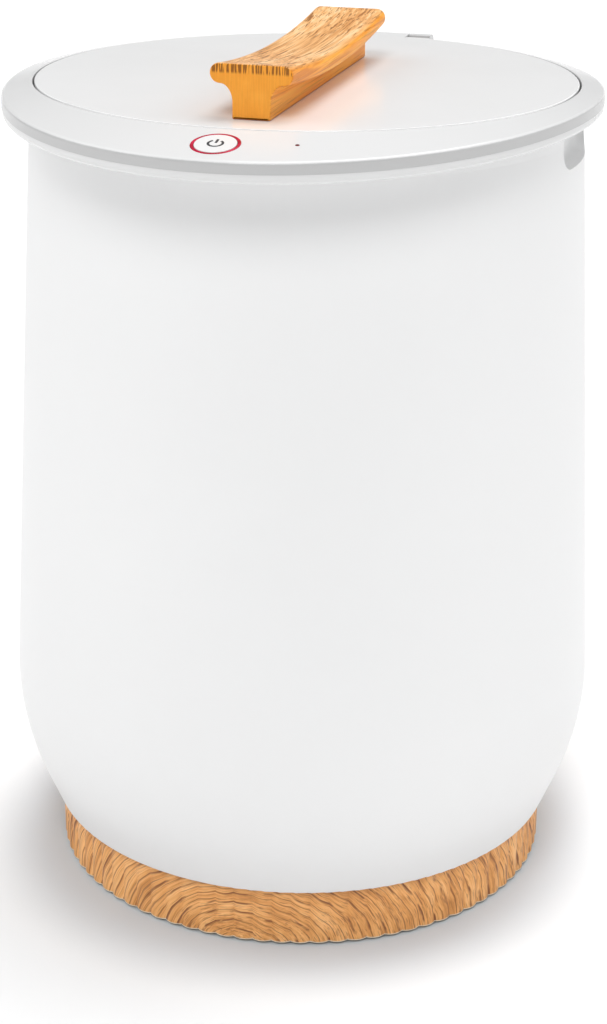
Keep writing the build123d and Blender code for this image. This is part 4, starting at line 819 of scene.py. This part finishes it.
# %% Bucket
BUCKET_TOP = BODY_TOP + 1 * MM
BUCKET_BOTTOM = BUCKET_TOP - 330 * MM
SHEET = 1 * MM
PINHOLE = 0.5 * MM
SHEET_STEP = 1.2 * MM
SHEET_COLUMNS = 144
BUCKET_CORNER = 16 * MM
BUCKET_LIP = 2 * MM
BUCKET_FLANGE = 134.5 * MM
BUCKET_MOUTH = 125 * MM
BUCKET_FOOT = 119.3 * MM
CORNER_REACH = 119 * MM
FLOOR_REACH = 100 * MM
WALL_BEADS = (BUCKET_TOP - 22 * MM, BUCKET_TOP - 32 * MM, BUCKET_BOTTOM + SHEET + 60 * MM)
WALL_BEAD_HALF, WALL_BEAD_RISE = 4 * MM, 1.1 * MM
FLOOR_BEADS = ((84 * MM, 1.2 * MM), (40 * MM, 1.0 * MM))
FLOOR_BEAD_HALF = 5 * MM


def bump_at(where, centre, half_width, height):
    """A smooth bump: height times cos^2 over its width, and 0 elsewhere."""
    off = np.clip((where - centre) / half_width, -1, 1)
    return height * np.cos(off * math.pi / 2) ** 2


def bucket_outline():
    """Inner face from the flange down the tapered wall to the centre, and the outer face back up."""
    high, low = BUCKET_TOP, BUCKET_BOTTOM + SHEET
    lip = arc((BUCKET_MOUTH + BUCKET_LIP, high - BUCKET_LIP), BUCKET_LIP, 90, 180, 6)
    wall_ends = profile((BUCKET_MOUTH, high - BUCKET_LIP), (BUCKET_FOOT, low + BUCKET_CORNER))
    wall = finely(wall_ends, SHEET_STEP)
    for bead in WALL_BEADS:
        wall[:, 0] -= bump_at(wall[:, 1], bead, WALL_BEAD_HALF, WALL_BEAD_RISE)
    inner_round = BUCKET_CORNER - SHEET
    corner = arc((CORNER_REACH - inner_round, low + inner_round), inner_round, -5, -90, 9)
    floor = finely(profile((FLOOR_REACH, low), (PINHOLE, low)), SHEET_STEP)
    for bead, rise in FLOOR_BEADS:
        floor[:, 1] += bump_at(floor[:, 0], bead, FLOOR_BEAD_HALF, rise)
    outer_middle = (CORNER_REACH + SHEET - BUCKET_CORNER, BUCKET_BOTTOM + BUCKET_CORNER)
    outside = profile((PINHOLE, BUCKET_BOTTOM), (outer_middle[0], BUCKET_BOTTOM),
                      arc(outer_middle, BUCKET_CORNER, -90, -5, 9),
                      (BUCKET_MOUTH + SHEET, BODY_TOP), (BUCKET_FLANGE, BODY_TOP))
    return profile((BUCKET_FLANGE, high), lip, wall, corner, floor, outside)


bucket = surface("bucket_sheet", turned(bucket_outline(), SHEET_COLUMNS), wrap_rows=True, wrap_columns=True)
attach(bucket, "housing")
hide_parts("inner_bucket")
print("bucket:", len(bucket.data.polygons), "faces")

# %% Lid liner
LID_BOTTOM = LID_TOP - 4.9 * MM
LINER_BOTTOM = LID_BOTTOM - 13.5 * MM
LINER_RADIUS = 123 * MM
LINER_FLANGE = 131 * MM
LINER_CORNER = 5 * MM
LINER_BEADS = (60 * MM, 76 * MM)
LINER_BEAD_HALF, LINER_BEAD_RISE = 4 * MM, 0.7 * MM


def liner_outline():
    """The pan's lower face from the centre to its flange, and the upper face back."""
    face_ends = profile((PINHOLE, LINER_BOTTOM), (LINER_RADIUS - LINER_CORNER, LINER_BOTTOM))
    face = finely(face_ends, SHEET_STEP)
    for bead in LINER_BEADS:
        face[:, 1] += bump_at(face[:, 0], bead, LINER_BEAD_HALF, LINER_BEAD_RISE)
    middle = (LINER_RADIUS - LINER_CORNER, LINER_BOTTOM + LINER_CORNER)
    lower = profile(face, arc(middle, LINER_CORNER, -84, 0, 8),
                    (LINER_RADIUS, LID_BOTTOM), (LINER_FLANGE, LID_BOTTOM))
    back = face[::-1] + (0, SHEET)
    upper = profile((LINER_FLANGE, LID_BOTTOM + SHEET), (LINER_RADIUS - SHEET, LID_BOTTOM + SHEET),
                    arc(middle, LINER_CORNER - SHEET, 0, -84, 8), back)
    return profile(lower, upper)


liner = surface("liner_pan", turned(liner_outline(), SHEET_COLUMNS), wrap_rows=True, wrap_columns=True)
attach(liner, "lid")
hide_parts("lid_liner")
print("liner:", len(liner.data.polygons), "faces")

# %% [markdown]
# ## Drawn aluminium
# A deep-drawn bucket keeps fine scratches that run round it. The pattern uses the distance
# from the axis and the height, and changes only slowly around. The turn jumps at the back,
# so the lines don't quite meet there.


# %% Aluminium
def drawn_aluminium(name, rough):
    """Fine rings of polish from noise on (radius, height), with slow clouds over them."""
    finish = Finish(name, Metallic=1.0)
    place = finish.place()
    centred = finish.from_axis(place)
    x, y, z = finish.split(centred)
    radius = (x * x + y * y) ** 0.5
    turn = finish.maths("ARCTAN2", x, y * -1.0)
    rings = finish.noise(finish.join(radius * 900, z * 900, turn * 1.5), 1.0, 3.0, 0.6)
    cloud = finish.noise(place, 30, 3.0)
    colour = finish.mix(rings * 0.5 + cloud * 0.5, (0.66, 0.67, 0.68), (0.78, 0.79, 0.8))
    return finish.end(colour, rough * 0.8 + rings * (rough * 0.5), rings, 0.012 * MM)


dress(bucket, drawn_aluminium("bucket_aluminium", 0.34))
dress(liner, drawn_aluminium("liner_aluminium", 0.3))
print("aluminium on", bucket.name, "and", liner.name)

# %% [markdown]
# ## Feet and gland
# Four rubber feet lift the base ring off the counter. Their treads have grooves, as moulded
# feet do, and a pinhole where the outline stops short of the middle. At the back, a rubber
# gland lines the hole where a mains lead would go in; the photograph shows no lead, so none
# is made.

# %% Feet
FOOT_RADIUS = 9 * MM
FOOT_THICKNESS = 3 * MM
FOOT_CIRCLE = 105 * MM
FOOT_BEVEL = 0.75 * MM
FOOT_PINHOLE = 0.3 * MM
TREAD_GROOVES = (3 * MM, 5.8 * MM)
GROOVE_HALF, GROOVE_DEPTH = 0.7 * MM, 0.5 * MM


def foot_grid(turn_from_front):
    """One foot: its tread carries two rounded grooves, and its edge is bevelled."""
    r = np.linspace(FOOT_PINHOLE, FOOT_RADIUS - FOOT_BEVEL, 46)
    grooves = sum(bump_at(r, groove, GROOVE_HALF, GROOVE_DEPTH) for groove in TREAD_GROOVES)
    outline = profile(np.stack([r, grooves], 1), (FOOT_RADIUS, FOOT_BEVEL),
                      (FOOT_RADIUS, FOOT_THICKNESS), (FOOT_PINHOLE, FOOT_THICKNESS))
    turn = round_steps(48)
    across = FOOT_CIRCLE * math.sin(turn_from_front) + outline[:, :1] * np.sin(turn)
    back = AXIS_BACK - FOOT_CIRCLE * math.cos(turn_from_front) + outline[:, :1] * np.cos(turn)
    return np.stack([across, back, outline[:, 1:] + 0 * turn], 2)


for place_name, quarter_turns in (("front", 0), ("right", 1), ("back", 2), ("left", 3)):
    grid = foot_grid(quarter_turns * math.pi / 2)
    foot = surface("foot_" + place_name, grid, wrap_rows=True, wrap_columns=True)
    dress(foot, plain["foot_rubber"])
    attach(foot, "housing")
    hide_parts("rubber_feet")
print("four feet on a circle of", FOOT_CIRCLE, "m")

# %% Gland
GLAND_BORE = 3.6 * MM
GLAND_FLANGE = 8 * MM
GLAND_FLANGE_THICKNESS = 2.4 * MM
GLAND_FLANGE_ROUND = 1.2 * MM
GLAND_LIP_ROUND = 0.8 * MM
GLAND_INSIDE = 5 * MM
GLAND_INNER_END = REED_CREST - REED_DEPTH - RING_WALL - GLAND_INSIDE


def gland_outline():
    """Bore, barrel and a flange whose outer edge is rounded, as (radius, distance behind the axis)."""
    outer_face = REED_CREST + GLAND_FLANGE_THICKNESS
    edge_middle = (GLAND_FLANGE - GLAND_FLANGE_ROUND, outer_face - GLAND_FLANGE_ROUND)
    lip_middle = (GLAND_BORE + GLAND_LIP_ROUND, outer_face - GLAND_LIP_ROUND)
    return profile((GLAND_BORE, GLAND_INNER_END), (GLAND_BARREL, GLAND_INNER_END),
                   (GLAND_BARREL, REED_CREST), (GLAND_FLANGE, REED_CREST),
                   arc(edge_middle, GLAND_FLANGE_ROUND, 0, 90, 7),
                   arc(lip_middle, GLAND_LIP_ROUND, 90, 180, 6))


gland = surface("gland_bush", along_back(gland_outline(), 64), wrap_rows=True, wrap_columns=True)
dress(gland, plain["gland_white"])
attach(gland, "housing")
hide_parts("cord_gland")
print("gland bore:", GLAND_BORE, "m")

# %% [markdown]
# ## Floor, light and camera
# The photograph is a studio shot on white: an even, pale floor, soft light from all sides, and
# a little more of it from above. The floor is one wide round sheet of paper that sweeps up at
# its edge, so the horizon is only a faint change of tone. It isn't part of the object.


# %% Floor
# Painted contact shadow: the floor is the darker, cooler grey SHADE near the axis, fading to the paper
# between SHADE_INNER and SHADE_OUTER.
SHADE_INNER, SHADE_OUTER = 0.13, 0.19
SHADE = (0.59, 0.635, 0.675)


def studio_floor():
    """Pale matt paper. Under the warmer and just round it, the paper carries a painted contact
    shadow: a cooler, darker grey that deepens the shadow, which the soft lamps leave too weak, and
    takes up the wood's orange glow. The painted shadow fades out between SHADE_INNER and SHADE_OUTER from
    the axis."""
    finish = Finish("studio_white")
    place = finish.place()
    x, y, _ = finish.split(place)
    away = (x * x + (y - AXIS_BACK) ** 2.0) ** 0.5
    cloud = finish.noise(place, 0.6, 1.0)
    paper = finish.mix(cloud, (0.93, 0.93, 0.93), (0.945, 0.945, 0.945))
    colour = finish.mix(finish.window(away, SHADE_INNER, SHADE_OUTER), SHADE, paper)
    return finish.end(colour, 0.75 + cloud * 0.1)


FLOOR_RADIUS = 8.5
FLOOR_CENTRE = 0.01
FLOOR_STEP = 0.5
SWEEP_RADIUS = 1.5

sweep_edge = finely(profile((FLOOR_CENTRE, 0), (FLOOR_RADIUS, 0)), FLOOR_STEP)
sweep_rise = arc((FLOOR_RADIUS, SWEEP_RADIUS), SWEEP_RADIUS, -88, -12, 20)
floor = surface("studio_floor", turned(profile(sweep_edge, sweep_rise), 96), wrap_columns=True)
dress(floor, studio_floor())
print("floor:", FLOOR_RADIUS * 2, "m wide")


# %% Light
def soft_sun(name, turn, rise, spread, strength):
    """A wide, soft lamp at infinity. turn is its azimuth from the front, rise its height above the
    floor and spread its width, all in degrees. Its strength compares with the sky's: a sky of
    strength 1 gives a surface under it pi units of light, so the energy is pi times that."""
    lamp = bpy.data.lights.new(name, "SUN")
    lamp.energy, lamp.angle = strength * math.pi, math.radians(spread)
    light = bpy.data.objects.new(name, lamp)
    bpy.context.scene.collection.objects.link(light)
    turn, rise = math.radians(turn), math.radians(rise)
    source = Vector((math.sin(turn) * math.cos(rise), -math.cos(turn) * math.cos(rise), math.sin(rise)))
    light.rotation_euler = source.to_track_quat("Z", "Y").to_euler()


LAMPS = {
    "overhead_panel": (165, 68, 42, 0.49),
    "front_panel": (5, 49, 26, 0.43),
    "left_panel": (-80, 36, 44, 0.24),
    "right_panel": (105, 36, 44, 0.24),
}
SKY_STRENGTH = 0.22
world = bpy.data.worlds.new("studio")
world.use_nodes = True
sky = world.node_tree.nodes["Background"]
sky.inputs["Color"].default_value = (0.98, 0.99, 1.0, 1)
sky.inputs["Strength"].default_value = SKY_STRENGTH
bpy.context.scene.world = world
bpy.context.scene.view_settings.view_transform = "Standard"
for lamp_name, (turn, rise, spread, strength) in LAMPS.items():
    soft_sun(lamp_name, turn, rise, spread, strength)
print("sky", SKY_STRENGTH, "and", len(LAMPS), "soft lamps")

# %% [markdown]
# The camera stands where the photographer's is reckoned to have stood: above the lid, and
# fifteen degrees to the right of the warmer's front. These numbers were fitted to the
# ellipses that the round seam, rim and base draw in the photograph.

# %% Camera
CAMERA_TURN = math.radians(15)
CAMERA_DISTANCE = 1.0752
CAMERA_HEIGHT = 0.6118
CAMERA_TILT = math.radians(21.55)
CAMERA_ROLL = 0.0082
SENSOR = 36
FOCAL_PIXELS, FRAME_HEIGHT = 2139.3, 1024

view = bpy.data.cameras.new("photographer")
view.sensor_width, view.lens = SENSOR, SENSOR * FOCAL_PIXELS / FRAME_HEIGHT
camera = bpy.data.objects.new("photographer", view)
bpy.context.scene.collection.objects.link(camera)
stand = (CAMERA_DISTANCE * math.sin(CAMERA_TURN),
         AXIS_BACK - CAMERA_DISTANCE * math.cos(CAMERA_TURN), CAMERA_HEIGHT)
camera.matrix_world = (
    Matrix.Translation(stand) @ Matrix.Rotation(CAMERA_TURN, 4, "Z")
    @ Matrix.Rotation(math.pi / 2 - CAMERA_TILT, 4, "X") @ Matrix.Rotation(CAMERA_ROLL, 4, "Z"))
bpy.context.scene.camera = camera
print("camera at", [round(part, 3) for part in stand])
